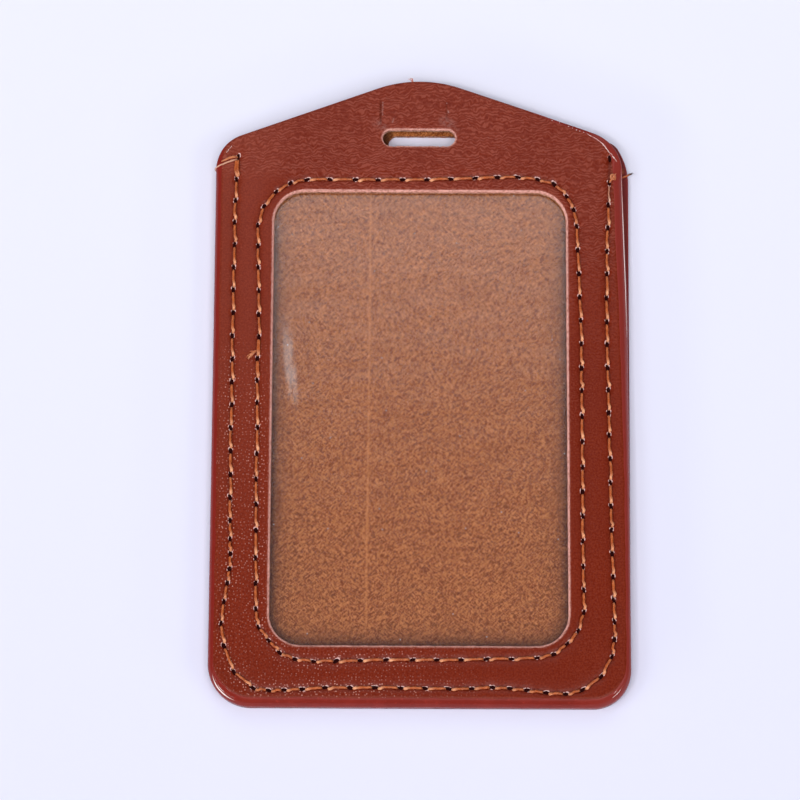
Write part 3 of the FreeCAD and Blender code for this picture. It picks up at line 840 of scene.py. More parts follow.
def fibre(name, base, pale, deep, cad=False, crease=False, scale=1.0):
    """Pressed leather-fibre board: short fibres that lie every way, flecks, cloudy tone."""
    m = Mat(name)
    p = m.cad() if cad else m.rest()
    q = m.shift(p, m.noise(p, 0.5, 1.0, out=1), 0.5)
    lean = m.rng(m.noise(p, 0.5, 0.0), 0.35, 0.65, 0.5, 1.5)
    lie = None
    for k, turn in enumerate((0.62, 0.95, 2.25, 2.55, 1.55)):
        n = m.noise(m.map(q, (1.0 * scale, 4.6 * scale, 2.0), turn, (k * 7.3, k * 3.1, k * 1.7)), 1.0, 0.0, 0.5)
        n = m.math("SUBTRACT", n, 0.5)
        if k < 2:
            n = m.math("MULTIPLY", n, lean)
        lie = n if lie is None else m.math("ADD", lie, n)
    fine = m.noise(p, 4.6 * scale, 0.0, 0.6)
    mid = m.noise(p, 0.8 * scale, 2.0, 0.6)
    cloud = m.noise(p, 0.10, 3.0, 0.6)
    t = m.math("ADD", lie, m.math("MULTIPLY", m.math("SUBTRACT", fine, 0.5), 0.5))
    t = m.math("ADD", t, m.math("MULTIPLY", m.math("SUBTRACT", mid, 0.5), 0.06))
    col = m.mix(m.rng(cloud, 0.3, 0.7, 0.0, 0.25), base, tuple(x * 0.80 for x in base))
    col = m.mix(m.rng(m.noise(p, 1.0, 2.0), 0.44, 0.64, 0.0, 0.55), col, (base[0] * 1.02, base[1] * 1.28, base[2] * 1.15))
    col = m.mix(m.rng(t, 0.0, -0.52, 0.0, 0.68), col, deep)
    col = m.mix(m.rng(t, 0.0, 0.48, 0.0, 0.88), col, pale)
    # single fibres on top
    for k, turn in enumerate((0.70, 2.40)):
        n = m.noise(m.map(q, (0.62 * scale, 4.4 * scale, 2.0), turn, (k * 4.7 + 2.0, k * 9.1, 0.0)), 1.0, 0.0)
        col = m.mix(m.rng(n, 0.58, 0.72, 0.0, 0.70), col, pale)
        col = m.mix(m.rng(n, 0.42, 0.28, 0.0, 0.16), col, deep)
    # painted shade: dark at the slot's left end
    col = m.mix(m.math("MULTIPLY", m.attr("char"), 0.86), col, tuple(x * 0.35 for x in deep))
    h = m.math("ADD", m.math("MULTIPLY", lie, 0.03), m.math("MULTIPLY", fine, 0.03))
    if crease:
        col = m.mix(m.math("MULTIPLY", m.attr("shade"), m.rng(m.noise(p, 0.9, 3.0), 0.25, 0.7, 0.66, 0.98)), col, (deep[0] * 0.62, deep[1] * 0.42, deep[2] * 0.25))
        col = m.mix(m.attr("stain"), col, (0.150, 0.0165, 0.0160))
        # the raised crease is mixed paler: painted highlight along its ridge
        col = m.mix(m.math("MULTIPLY", m.attr("crease"), m.rng(m.noise(p, 0.8, 2.0), 0.3, 0.7, 0.32, 0.80)), col, pale)
    m.surface(Base_Color=col, Roughness=0.75, IOR=1.45, Specular_IOR_Level=0.25, Normal=m.bump(h))
    return m.m


def thread_mat(name, base, pale, deep):
    m = Mat(name)
    p = m.rest()
    n1 = m.noise(p, 1.3, 2.0)
    n2 = m.noise(p, 9.0, 3.0, 0.65)
    col = m.mix(m.rng(n1, 0.3, 0.7), base, tuple(0.5 * (a + b) for a, b in zip(base, deep)))
    col = m.mix(m.rng(n2, 0.52, 0.75, 0.0, 0.6), col, pale)
    col = m.mix(m.rng(n2, 0.45, 0.25, 0.0, 0.6), col, deep)
    # pale where marked: painted glints on the thread
    col = m.mix(m.math("MULTIPLY", m.attr("bright"), 0.90), col, pale)
    col = m.mix(m.attr("burnt"), col, (0.02, 0.004, 0.002))
    h = m.math("MULTIPLY", n2, 0.02)
    m.surface(Base_Color=col, Roughness=0.36, IOR=1.5, Specular_IOR_Level=0.35, Sheen_Weight=0.06, Sheen_Roughness=0.4, Normal=m.bump(h))
    return m.m


def film_mat(name):
    m = Mat(name)
    p = m.rest()
    wav = m.noise(m.map(p, (0.05, 0.09, 1.0)), 1.0, 2.0)
    scr = m.noise(m.map(p, (3.0, 0.05, 1.0), 0.35), 1.0, 2.0, 0.6)
    speck = m.cells(p, 0.09, "F1", 1.0, dims="2D")
    xyz = m.node("ShaderNodeSeparateXYZ", {0: p}).outputs
    streak = m.math("MULTIPLY", m.rng(scr, 0.66, 0.78, 0.0, 0.012), m.rng(wav, 0.45, 0.6))
    spots = m.rng(speck, 0.012, 0.007, 0.0, 0.30)
    # painted highlight: a pale streak by the left border
    dx = m.math("SUBTRACT", xyz[0], m.math("ADD", m.math("MULTIPLY", xyz[1], -0.10), -21.6))
    pale_highlight = m.math("MULTIPLY", m.rng(m.math("ABSOLUTE", dx), 1.5, 0.2), m.math("MULTIPLY", m.rng(xyz[1], -6.0, 3.0), m.rng(xyz[1], 14.0, 5.0)))
    pale_highlight = m.math("MULTIPLY", pale_highlight, m.rng(m.noise(m.map(p, (0.9, 0.25, 1.0)), 1.0, 3.0), 0.35, 0.65, 0.02, 0.09))
    dust_and_highlight = m.math("ADD", streak, m.math("ADD", spots, pale_highlight), clamp=True)
    # same gloss on both faces of the film: the Fresnel node turns the inner face into a mirror at a low angle
    facing = m.node("ShaderNodeLayerWeight", {"Blend": 0.5}).outputs["Facing"]
    fres = m.math("ADD", m.math("MULTIPLY", m.math("POWER", facing, 5.0), 0.80), 0.036)
    fac = m.math("ADD", m.math("MULTIPLY", fres, 1.45), dust_and_highlight, clamp=True)
    clear = m.node("ShaderNodeBsdfTransparent", {"Color": (0.985, 0.975, 0.965, 1.0)}).outputs[0]
    pr = m.t.nodes.new("ShaderNodeBsdfPrincipled")
    pr.inputs["Base Color"].default_value = (0.94, 0.94, 0.96, 1.0)
    pr.inputs["Roughness"].default_value = 0.22
    pr.inputs["IOR"].default_value = 1.46
    m.put(pr.inputs["Metallic"], m.rng(dust_and_highlight, 0.004, 0.05, 1.0, 0.0))
    h = m.math("ADD", m.math("MULTIPLY", wav, 0.25), m.math("MULTIPLY", scr, 0.002))
    m.put(pr.inputs["Normal"], m.bump(h))
    mixer = m.node("ShaderNodeMixShader", {0: fac, 1: clear, 2: pr.outputs[0]})
    m.t.links.new(mixer.outputs[0], m.out.inputs[0])
    return m.m


LEATHER = leather("leather_skin", (0.150, 0.0125, 0.0040), (0.254, 0.0340, 0.0125), (0.312, 0.0670, 0.0410), 0.22)
LEATHER_BACK = leather("leather_skin_back", (0.150, 0.0125, 0.0045), (0.240, 0.0320, 0.0125), (0.285, 0.0560, 0.0320), 0.25, detail=False)
CUT = cut_leather("cut_leather")
DARK = hole_dark("needle_hole")
PAINT = paint("edge_paint", (0.234, 0.0240, 0.0165), (0.196, 0.0190, 0.0125), 0.14)
PAINT_BACK = paint("edge_paint_back", (0.185, 0.0160, 0.0150), (0.135, 0.0110, 0.0110), 0.20)
BOARD = fibre("fibre_board", (0.276, 0.0625, 0.0096), (0.640, 0.232, 0.072), (0.124, 0.0205, 0.0033), crease=True, scale=1.58)
BOARD_EDGE = fibre("fibre_board_cut", (0.370, 0.150, 0.078), (0.640, 0.340, 0.250), (0.165, 0.054, 0.025))
BOARD_CAD = fibre("fibre_welt", (0.26, 0.098, 0.040), (0.44, 0.22, 0.12), (0.12, 0.038, 0.015), cad=True)
THREAD = thread_mat("stitch_thread", (0.490, 0.097, 0.0125), (0.97, 0.45, 0.24), (0.210, 0.028, 0.005))
THREAD_PALE = thread_mat("stitch_thread_pale", (0.500, 0.190, 0.110), (0.86, 0.52, 0.38), (0.27, 0.075, 0.036))
WISP = thread_mat("fibre_wisp", (0.46, 0.090, 0.060), (0.72, 0.27, 0.20), (0.26, 0.035, 0.022))
GLINT_LINE = thread_mat("painted_glint_edge", (0.72, 0.46, 0.42), (0.92, 0.80, 0.78), (0.45, 0.20, 0.17))
FILM_M = film_mat("clear_film")


# --------------------------------------------------------------- front panel
def bends(obj):
    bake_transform(obj)


outer, holes, pts = front_points()
body = sheet_body(outer, holes, pts, front_top, front_walls, Z_BOARD, values=front_values)
front_leather = body.object("front_leather", [LEATHER, CUT, DARK])
bends(front_leather)
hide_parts("front_skin", "front_skin_crown")


def board_piece(name, outline, holes, z0, z1, mats, fill=1.3, top=None, wall_mat=1, extra=None, values=None, pick=None):
    outer = resample(outline + left_of(outline) * 0.20, 0.6)
    c = Cloud()
    for loop in [outer] + holes:
        c.add(loop, 0.0)
    skip = len(c.pts)
    if extra is not None:
        c.add(extra, 0.1)
    c.add(hexfill(outer, fill), 0.45)
    pts = np.array(c.pts[skip:])
    ok = inside(pts, outer) & (nearest(pts, outer)[0] > 0.2)
    for h in holes:
        ok &= ~inside(pts, h)
    pts = pts[ok]

    def walls(p, z):
        n = len(p)
        kind = loop_kind(p)
        if kind == "hole":
            return [(0.0, z1 - 0.1, 2), (0.0, z0, 2)]
        j = ragged(n, 0.03 if kind == "slot" else 0.018, 31, 2)
        k = ragged(n, 0.03 if kind == "slot" else 0.018, 32, 2)
        h = z1 - z0
        return [(j, z1 - 0.25 * h, wall_mat), (k, z1 - 0.5 * h, wall_mat), (0.5 * (j - k), z1 - 0.75 * h, wall_mat), (0.0, z0, wall_mat)]

    return sheet_body(outer, holes, pts, top or (lambda xy: np.full(len(xy), z1)), walls, z0, values=values, pick=pick).object(name, mats)


window_in = resample(WINDOW_LOOP + left_of(WINDOW_LOOP) * 0.31, 0.40)
slot_in = resample(SLOT_F + left_of(SLOT_F) * 0.20, 0.22)
front_in = FRONT_LOOP + left_of(FRONT_LOOP) * np.maximum(0.0, lip_width(FRONT_LOOP) - 0.35)[:, None]
plugs = [r[2](0.07, 14) for r in ALL_RINGS]


def burnt(mid):
    """Painted shade: the board takes the near-black hole colour under each needle hole."""
    hit = np.zeros(len(mid), bool)
    for ring in plugs:
        hit |= inside(mid, ring)
    return np.where(hit, 2, 0)


def slot_end_shade(xy):
    """Painted shade: the left end of the slot is made dark where its wall is in shade."""
    return {"char": smooth(-4.2, -5.9, xy[:, 0]) * smooth(-9.0, -7.6, xy[:, 0]) * smooth(38.0, 42.0, xy[:, 1])}


front_fibre = board_piece("front_fibre", front_in, [window_in[::-1], slot_in[::-1]], Z_FILM_HI, Z_BOARD,
                          [BOARD_EDGE, BOARD_EDGE, DARK], extra=np.concatenate(plugs), pick=burnt, values=slot_end_shade)
bends(front_fibre)
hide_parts("front_board", "front_board_crown")


def bead(loop, profile):
    """Coating swept round the edge; profile(i) lists (inset, z) from the face round to the parting and back."""
    n = len(loop)
    nin = left_of(loop)
    prof = profile(loop)
    k = prof.shape[1]
    b = Body()
    pts = np.empty((n, k, 3))
    pts[:, :, :2] = loop[:, None, :] + nin[:, None, :] * prof[:, :, 0:1]
    pts[:, :, 2] = prof[:, :, 1]
    b.add(pts.reshape(-1, 3))
    faces = []
    for i in range(n):
        j = (i + 1) % n
        for c in range(k):
            d = (c + 1) % k
            faces.append((i * k + c, i * k + d, j * k + d, j * k + c))
    b.face(faces)
    return b


def front_profile(loop):
    n = len(loop)
    lip = lip_width(loop)
    lip = lip + ragged(n, 0.035, 41, 9) * smooth(0.1, 0.6, lip) + ragged(n, 0.012, 42, 2)
    lip = np.maximum(lip, 0.10)
    under = np.minimum(0.28, lip * 0.55)
    nin = left_of(loop)
    low = np.where(loop[:, 1] > FLEX_Y - 0.3, Z_FILM_HI + 0.05, Z_SEAM + 0.05)
    low = np.where((loop[:, 1] > FLEX_Y - 1.2) & (loop[:, 1] <= FLEX_Y - 0.3),
                   Z_SEAM + 0.05 + (Z_FILM_HI - Z_SEAM) * smooth(FLEX_Y - 1.2, FLEX_Y - 0.3, loop[:, 1]), low)
    thick = 0.028 + 0.030 * smooth(0.2, 0.9, lip) + ragged(n, 0.006, 43, 6)
    rows = []

    def face_z(d):
        return front_top(loop + nin * np.asarray(d).reshape(-1, 1))

    # over the face, from the lip outwards
    for t, rise in ((1.0, 0.0), (0.96, 0.65), (0.88, 1.0), (0.74, 1.0), (0.58, 1.0), (0.42, 1.05)):
        d = lip * t
        rows.append((d, face_z(d) + thick * rise))
    d6, z6 = rows[-1]
    # round the corner and down the side
    share, slope = bevel(loop, lip)
    zc = np.minimum(z6 - 0.12, Z_TOP - 0.42 - 0.22 * smooth(0.3, 0.9, lip))
    end = np.maximum(z6 - d6 * slope * 1.5 - 0.30, low + 0.2)
    turn = np.maximum(z6 - d6 * slope * 1.4, end + 0.05)
    for a in (0.22, 0.42, 0.62, 0.80, 0.93):
        w = a * math.pi / 2.0
        rows.append(((1.0 - share) * d6 * (1.0 - math.sin(w)) + share * d6 * (1.0 - a) ** 2,
                     (1.0 - share) * (zc + (z6 - zc) * math.cos(w))
                     + share * ((1.0 - a) ** 2 * z6 + 2.0 * a * (1.0 - a) * turn + a * a * end)))
    zc = (1.0 - share) * zc + share * end
    bulge = ragged(n, 0.012, 44, 5)
    rows.append((np.zeros(n) + bulge, zc - 0.02))
    for t in (0.25, 0.5, 0.75):
        rows.append((np.zeros(n) - 0.02 * math.sin(math.pi * t) + bulge * (1 - t), zc + (low + 0.08 - zc) * t))
    rows.append((np.full(n, 0.012), low + 0.07))
    rows.append((np.full(n, 0.05), low + 0.015))
    rows.append((np.full(n, 0.12), low))
    rows.append((under, low))
    rows.append((under, face_z(under) - 0.10))
    rows.append((np.maximum(lip * 0.97, under + 0.02), face_z(lip * 0.97) - 0.05))
    return np.stack([np.stack(r, 1) for r in rows], 1)


b = bead(FRONT_LOOP, front_profile)
# painted highlights: pale lines where skin and coating meet on the right shoulder, in specks along the slope, and on
# the left shoulder
rng = np.random.default_rng(47)


def glint_strand(points, radius, n=30):
    p = np.array(points, float)
    if n >= 30:
        p = curve(np.column_stack([p, np.zeros(len(p))]), n // 2)[0][:, :2]
        p[1:-1] += rng.normal(0.0, 0.030, (len(p) - 2, 2))
    p = np.column_stack([p, front_top(p) + 0.035])
    strand(b, p, radius * rng.uniform(0.35, 1.25, 14), n=n, sides=8, plies=2, ply=0.3, lay=0.7, flat=0.6, mat=1, bright=rng.uniform(0.0, 1.0, 6), burnt=0.0)


glint_strand([(28.35, 45.18), (29.0, 44.82), (29.64, 44.39), (30.4, 43.85), (31.09, 43.18), (31.7, 42.45), (32.2, 41.69), (32.8, 41.0), (33.4, 40.23)], 0.055, 60)
glint_strand([(32.35, 41.75), (32.62, 41.3), (33.0, 40.85)], 0.06)
glint_strand([(30.9, 43.5), (31.2, 43.22), (31.45, 42.9)], 0.06)
glint_strand([(-33.24, 41.47), (-32.8, 42.1), (-32.32, 42.65)], 0.045)


def glint_arc(points, radius):
    """Painted highlight: one smooth, tapered pale line along the rim of a corner."""
    p = curve(np.array([(x, y, 0.0) for x, y in points], float), 40)[0]
    p[:, 2] = front_top(p[:, :2]) + 0.030
    strand(b, p, radius * np.array([0.15, 0.5, 0.9, 1.0, 1.0, 0.9, 0.6, 0.15]), n=48, sides=8, plies=1, ply=0.0, flat=0.5, mat=1,
           bright=np.array([0.0, 0.6, 1.0, 1.0, 1.0, 0.7, 0.1]), burnt=0.0)


glint_arc([(-34.22, -49.1), (-33.92, -50.25), (-33.32, -51.45), (-32.45, -52.45), (-31.5, -53.2), (-30.5, -53.72)], 0.115)
glint_arc([(-33.40, -50.9), (-32.75, -51.8), (-31.95, -52.6)], 0.060)
glint_arc([(31.1, -53.45), (32.0, -52.85), (32.8, -52.1), (33.4, -51.3)], 0.055)
glint_arc([(31.6, -52.75), (32.2, -52.2), (32.75, -51.55)], 0.040)
glint_arc([(34.12, 39.2), (34.24, 35.0), (34.36, 30.0), (34.50, 24.5), (34.64, 19.0), (34.74, 14.0), (34.80, 9.0)], 0.055)
for x, y in ((22.4, 47.55), (23.62, 47.12), (24.63, 46.70), (25.20, 46.48), (25.85, 46.21), (26.53, 45.86), (27.10, 45.66), (27.75, 45.43)):
    k = rng.uniform(0.05, 0.11)
    glint_strand([(x - k, y + 0.35 * k), (x, y), (x + k, y - 0.35 * k)], rng.uniform(0.045, 0.075), 8)
front_edge = b.object("front_edge", [PAINT, GLINT_LINE], 50.0)
bends(front_edge)
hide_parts("front_edge_paint", "front_edge_paint_crown")


# ---------------------------------------------------------------- back panel
def back_lip(xy):
    return 0.85 + (0.20 - 0.85) * smooth(42.0, 45.5, xy[:, 1])


BACK_RINGS = needle_holes(SIDE_HOLES, False, 0.42, 0.28, 7)


def back_face(xy):
    """Shown face of the back skin: it looks down, so its height is measured downwards from the wallet's middle."""
    d, _ = nearest(xy, BACK_LOOP)
    reach = back_lip(xy) + 0.25
    t = np.clip((reach - d) / reach, 0.0, 1.0)
    z = 0.0 + 0.26 * (1.0 - np.sqrt(np.maximum(1.0 - t * t, 0.0)))
    z += 0.012 * (1.0 + fbm(xy, 0.06, 5.5))
    a, _ = nearest(xy, SIDE_SEWN, False)
    z += 0.30 * (1.0 - smooth(0.20, 0.42, a))
    ds, _ = nearest(xy, SLOT_B)
    z += 0.08 * np.exp(-(ds / 0.3) ** 2)
    return np.minimum(z, Z_BACK_SKIN - 0.08)


def back_walls(pts, z):
    kind = loop_kind(pts)
    n = len(pts)
    if kind == "outer":
        return [(0.0, Z_BACK_SKIN - 0.05, 0), (0.0, Z_BACK_SKIN, 0)]
    if kind == "slot":
        j = ragged(n, 0.03, 52, 2)
        return [(0.06 + j, z + 0.06, 1), (0.14 + j, z + 0.2, 1), (0.18, Z_BACK_SKIN, 1)]
    return [(0.02, z + 0.04, 2), (0.02, Z_BACK_SKIN, 2)]


def back_points():
    lip = back_lip(BACK_LOOP)
    outer = resample(BACK_LOOP + left_of(BACK_LOOP) * np.minimum(0.30, lip * 0.6)[:, None], 0.45)
    holes = [SLOT_B[::-1]] + [r[2](0.0, 14)[::-1] for r in BACK_RINGS]
    c = Cloud()
    for loop in [outer] + holes:
        c.add(loop, 0.0)
    skip = len(c.pts)
    for o in (0.15, 0.35, 0.65, 1.0):
        c.add(resample(outer + left_of(outer) * o, 0.5), 0.1)
    for o in (0.08, 0.22, 0.44, 0.75):
        c.add(resample(SLOT_B - left_of(SLOT_B) * o, 0.26), 0.07)
    line = resample(SIDE_SEWN, 0.35, False)
    t = np.gradient(line, axis=0)
    t /= np.linalg.norm(t, axis=1)[:, None]
    n = np.stack([-t[:, 1], t[:, 0]], 1)
    for o in (0.0, 0.20, -0.20, 0.31, -0.31, 0.42, -0.42, 0.7, -0.7):
        c.add(line + n * o, 0.09)
    c.add(hexfill(outer, 1.0), 0.5)
    pts = np.array(c.pts[skip:])
    ok = inside(pts, outer) & (nearest(pts, outer)[0] > 0.05) & (nearest(pts, SLOT_B)[0] > 0.04)
    for h in holes:
        ok &= ~inside(pts, h)
    return outer, holes, pts[ok]


outer, holes, pts = back_points()
body = sheet_body(outer, holes, pts, back_face, back_walls, Z_BACK_SKIN)
back_leather = body.object("back_leather", [LEATHER_BACK, CUT, DARK])
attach(back_leather, "wallet")
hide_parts("back_skin")

CREASE = np.array([(-8.54, 40.0), (-8.56, 33.8), (-8.60, 15.0), (-8.65, -1.7), (-8.78, -20.0), (-8.88, -41.4), (-8.90, -47.0)])


def board_top(xy):
    d, _ = nearest(xy, CREASE, False)
    z = Z_BACK_BOARD - 0.03 + 0.030 * fbm(xy, 0.05, 2.2) * 0.8
    z += 0.045 * np.exp(-(d / 0.16) ** 2) - 0.03 * np.exp(-((d - 0.4) / 0.25) ** 2)
    return np.minimum(z, Z_BACK_BOARD + 0.03)


line = resample(CREASE, 0.5, False)
crease_pts = np.concatenate([line + np.array([o, 0.0]) for o in (0.0, 0.12, -0.12, 0.26, -0.26, 0.45, -0.45, 0.8, -0.8)])
slot_back_in = resample(SLOT_B + left_of(SLOT_B) * 0.16, 0.22)
for o in (0.2, 0.6, 1.1, 1.8, 2.6):
    crease_pts = np.concatenate([crease_pts, resample(WINDOW_LOOP + left_of(WINDOW_LOOP) * o, 0.8)])


def board_values(xy):
    """Raised crease with a painted highlight, painted shade by the window's sides and foot, and coating run in past the
    front panel's edge.
    """
    d = nearest(xy, WINDOW_LOOP)[0] * np.where(inside(xy, WINDOW_LOOP), 1.0, -1.0)
    foot = smooth(-38.0, -44.0, xy[:, 1])
    side = 1.0 - smooth(28.0, 33.0, xy[:, 1])
    shade = side * np.exp(-np.maximum(d - 0.45 - 0.35 * foot, 0.0) / (1.15 + 0.75 * foot))
    out = nearest(xy, FRONT_LOOP)[0] * np.where(inside(xy, FRONT_LOOP), -1.0, 1.0)
    return {"crease": np.exp(-(nearest(xy, CREASE, False)[0] / 0.20) ** 2) * (1.0 - smooth(-38.0, -44.0, xy[:, 1])),
            "shade": shade, "stain": smooth(-0.75, -0.30, out), **slot_end_shade(xy)}


back_fibre = board_piece("back_fibre", BACK_LOOP, [slot_back_in[::-1]] + [r[2](0.0, 12)[::-1] for r in BACK_RINGS],
                         Z_BACK_SKIN, Z_BACK_BOARD, [BOARD, BOARD_EDGE, DARK], top=board_top, extra=crease_pts, values=board_values)
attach(back_fibre, "wallet")
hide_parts("back_board")


def back_profile(loop):
    n = len(loop)
    lip = np.maximum(back_lip(loop) + ragged(n, 0.03, 61, 8), 0.12)
    under = np.minimum(0.28, lip * 0.55)
    nin = left_of(loop)
    crown = loop[:, 1] > FLEX_Y - 0.3
    high = np.where(crown, Z_BACK_BOARD - 0.05, Z_SEAM - 0.05)
    rows = []

    def face_z(d):
        return back_face(loop + nin * np.asarray(d).reshape(-1, 1))

    for t, rise in ((1.0, 0.0), (0.92, 0.025), (0.7, 0.03), (0.45, 0.03)):
        d = lip * t
        rows.append((d, np.maximum(face_z(d) - rise, 0.004)))
    d4, z4 = rows[-1]
    for a in (0.25, 0.5, 0.75, 0.95):
        w = a * math.pi / 2.0
        rows.append((0.08 + (d4 - 0.08) * (1.0 - math.sin(w)), z4 + (0.40 - z4) * (1.0 - math.cos(w))))
    bulge = ragged(n, 0.012, 62, 5)
    for t in (0.0, 0.33, 0.66):
        rows.append((bulge * (1.0 - t) + 0.08 * (1.0 - t), 0.45 + (high - 0.08 - 0.45) * t))
    rows.append((np.full(n, 0.012), high - 0.07))
    rows.append((np.full(n, 0.05), high - 0.015))
    rows.append((np.full(n, 0.12), high))
    rows.append((under, high))
    rows.append((under, face_z(under) + 0.10))
    rows.append((np.maximum(lip * 0.97, under + 0.02), face_z(lip * 0.97) + 0.05))
    return np.stack([np.stack(r, 1) for r in rows], 1)


back_edge = bead(BACK_LOOP, back_profile).object("back_edge", [PAINT_BACK], 50.0)
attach(back_edge, "wallet")
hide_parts("back_edge_paint")

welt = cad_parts["seam_welt"]
welt.data.materials.clear()
welt.data.materials.append(BOARD_CAD)


# ---------------------------------------------------------------------- film
def film_piece():
    outer = rounded(FILM, 1.0)
    pts = hexfill(outer, 1.4)
    pts = pts[inside(pts, outer) & (nearest(pts, outer)[0] > 0.6)]

    def top(xy):
        d = nearest(xy, WINDOW_LOOP)[0]
        free = np.where(inside(xy, WINDOW_LOOP), smooth(0.5, 9.0, d), 0.0)
        return Z_FILM_HI - 0.004 + free * (0.05 * fbm(xy, 0.030, 9.4) - 0.01)

    b = sheet_body(outer, [], pts, top, lambda p, z: [(0.0, Z_FILM_LO, 0)], Z_FILM_LO)
    return b.object("clear_film", [FILM_M], 60.0)


clear_film = film_piece()
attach(clear_film, "wallet")
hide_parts("window_film")


# ------------------------------------------------------------------ stitches
def stitches(b, holes, closed, seed, extra=None, mats=None, thin=None):
    """One raised stitch per pair of holes. It leaves one hole, lies on the skin and hooks into the next."""
    rng = np.random.default_rng(seed)
    n = len(holes)
    for i in range(n if closed else n - 1):
        a, c = holes[i], holes[(i + 1) % n]
        u = c - a
        if (abs(u[1]) > 0.45 * abs(u[0]) and u[1] > 0) or (abs(u[1]) <= 0.45 * abs(u[0]) and u[0] > 0):
            a, c = c, a                       # the hooked end is the lower one, or the left one
            u = -u
        length = np.linalg.norm(u)
        u = u / length
        side = np.array([-u[1], u[0]])        # right of a downward stitch, as seen from above
        hook = rng.uniform(0.09, 0.27)
        bow = rng.normal(0.0, 0.05)
        lift = rng.uniform(0.11, 0.17)
        r = rng.uniform(0.195, 0.225) * (thin(i) if thin else 1.0)
        t = np.array([0.50, 0.55, 0.68, 0.95, length * 0.5, length - min(1.30, 0.45 * length), length - 0.98, length - 0.78, length - 0.63, length - 0.55])
        off = np.array([0.0, 0.0, 0.0, bow * 0.5, bow, bow + hook * 0.3, hook * 0.9, hook, hook * 0.75, hook * 0.55])
        lie = np.array([-0.95, -0.42, -0.02, lift * 0.85, lift + 0.01, lift + 0.02, lift + 0.05, lift * 0.75, -0.28, -0.95])
        xy = a + np.outer(t, u) + np.outer(off, side)
        z = front_top(xy)
        base = Z_TOP - 0.03 + 0.0 * z
        z = np.where(lie > 0.0, np.maximum(z, base - 0.05), base) + lie
        p = np.column_stack([xy, z])
        rr = r * np.array([0.80, 0.82, 0.90, 1.0, 1.0, 1.0, 1.12, 1.15, 0.95, 0.8])
        # pale at the hooked end and a little at the start: painted glint
        bright = np.array([0.0, 0.0, 0.14, 0.08, 0.0, 0.0, 0.34, 1.0, 0.7, 0.2]) * rng.uniform(0.60, 1.05)
        mat = mats(i) if mats else 0
        strand(b, p, rr, n=34, sides=14, phase=rng.uniform(0, 2.0), flat=0.88, mat=mat, bright=bright, burnt=0.0)
        for off, up, wide in (extra(i) if extra else ()):
            q = p.copy()
            taper = np.sin(np.linspace(0.0, math.pi, len(q)))
            q[:, :2] += side * off * taper[:, None] ** 0.6
            q[:, 2] += up * taper
            strand(b, q, rr * wide, n=34, sides=14, phase=rng.uniform(0, 2.0), flat=0.88, mat=mat, bright=bright * 0.6, burnt=0.0)


def bobbin(b, holes, closed, z, r, seed, dip):
    rng = np.random.default_rng(seed)
    n = len(holes)
    for i in range(n if closed else n - 1):
        a, c = holes[i], holes[(i + 1) % n]
        u = c - a
        length = np.linalg.norm(u)
        u = u / length
        side = np.array([-u[1], u[0]])
        bow = rng.normal(0.0, 0.025)
        t = np.array([0.10, 0.16, 0.30, 0.60, length * 0.5, length - 0.60, length - 0.30, length - 0.16, length - 0.10])
        xy = a + np.outer(t, u) + np.outer(np.sin(np.pi * t / length) * bow, side)
        zz = z + dip * np.array([0.75, 0.45, 0.12, 0.0, 0.0, 0.0, 0.12, 0.45, 0.75])
        strand(b, np.column_stack([xy, zz]), r, n=24, sides=12, phase=rng.uniform(0, 2.0), bright=0.0, burnt=0.0)


b = Body()
stitches(b, WINDOW_HOLES, True, 71, extra=lambda i: [(0.22, 0.05, 0.55)] if i in (59, 60) else [])
window_stitches = b.object("window_stitches", [THREAD, THREAD_PALE], 60.0)
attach(window_stitches, "wallet")
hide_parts("window_needle_thread")

b = Body()
stitches(b, SIDE_SEWN, False, 72, extra=lambda i: [(-0.32, 0.04, 0.95), (0.1, 0.16, 0.8)] if i == 0 else [],
         mats=lambda i: 1 if i == 63 else 0, thin=lambda i: 0.62 if i == 63 else 1.0)
side_stitches = b.object("side_stitches", [THREAD, THREAD_PALE], 60.0)
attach(side_stitches, "wallet")
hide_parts("side_needle_thread")

b = Body()
bobbin(b, WINDOW_HOLES, True, Z_FILM_LO - 0.09, 0.085, 73, 0.5)
window_stitches_inside = b.object("window_stitches_inside", [THREAD], 60.0)
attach(window_stitches_inside, "wallet")
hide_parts("window_bobbin_thread")

b = Body()
bobbin(b, SIDE_SEWN, False, 0.165, 0.135, 74, 0.7)
side_stitches_back = b.object("side_stitches_back", [THREAD], 60.0)
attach(side_stitches_back, "wallet")
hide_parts("side_bobbin_thread")

# ------------------------------------------------------------- loose ends
b = Body()


def over(points, lift):
    """Lay x, y points on the front face with the given heights above it."""
    p = np.array(points, float)
    return np.column_stack([p, front_top(p) + np.asarray(lift)])


# two strands from the top left needle hole, drawn over the edge
p = over([(-31.30, 40.66), (-31.65, 40.78), (-32.3, 40.62), (-33.0, 40.33), (-33.65, 40.02), (-34.1, 39.85)], [-0.6, 0.02, 0.16, 0.17, 0.13, 0.10])
strand(b, p, [0.17, 0.2, 0.21, 0.19, 0.15, 0.05], n=30, bright=[0, 0.2, 0.3, 0.2, 0.3, 0.4], burnt=0.0)
p = over([(-31.34, 40.50), (-31.7, 40.25), (-32.6, 39.88), (-33.6, 39.45), (-34.3, 39.18)], [-0.6, 0.0, 0.11, 0.11, 0.13])
p = np.concatenate([p, [(-34.86, 38.98, 2.98), (-35.10, 38.90, 2.50), (-35.12, 38.87, 1.9), (-35.08, 38.85, 1.4), (-34.92, 38.84, 1.15)]])
strand(b, p, [0.12, 0.14, 0.15, 0.14, 0.13, 0.13, 0.12, 0.12, 0.11, 0.08], n=44, mat=1, bright=0.5, burnt=0.0)

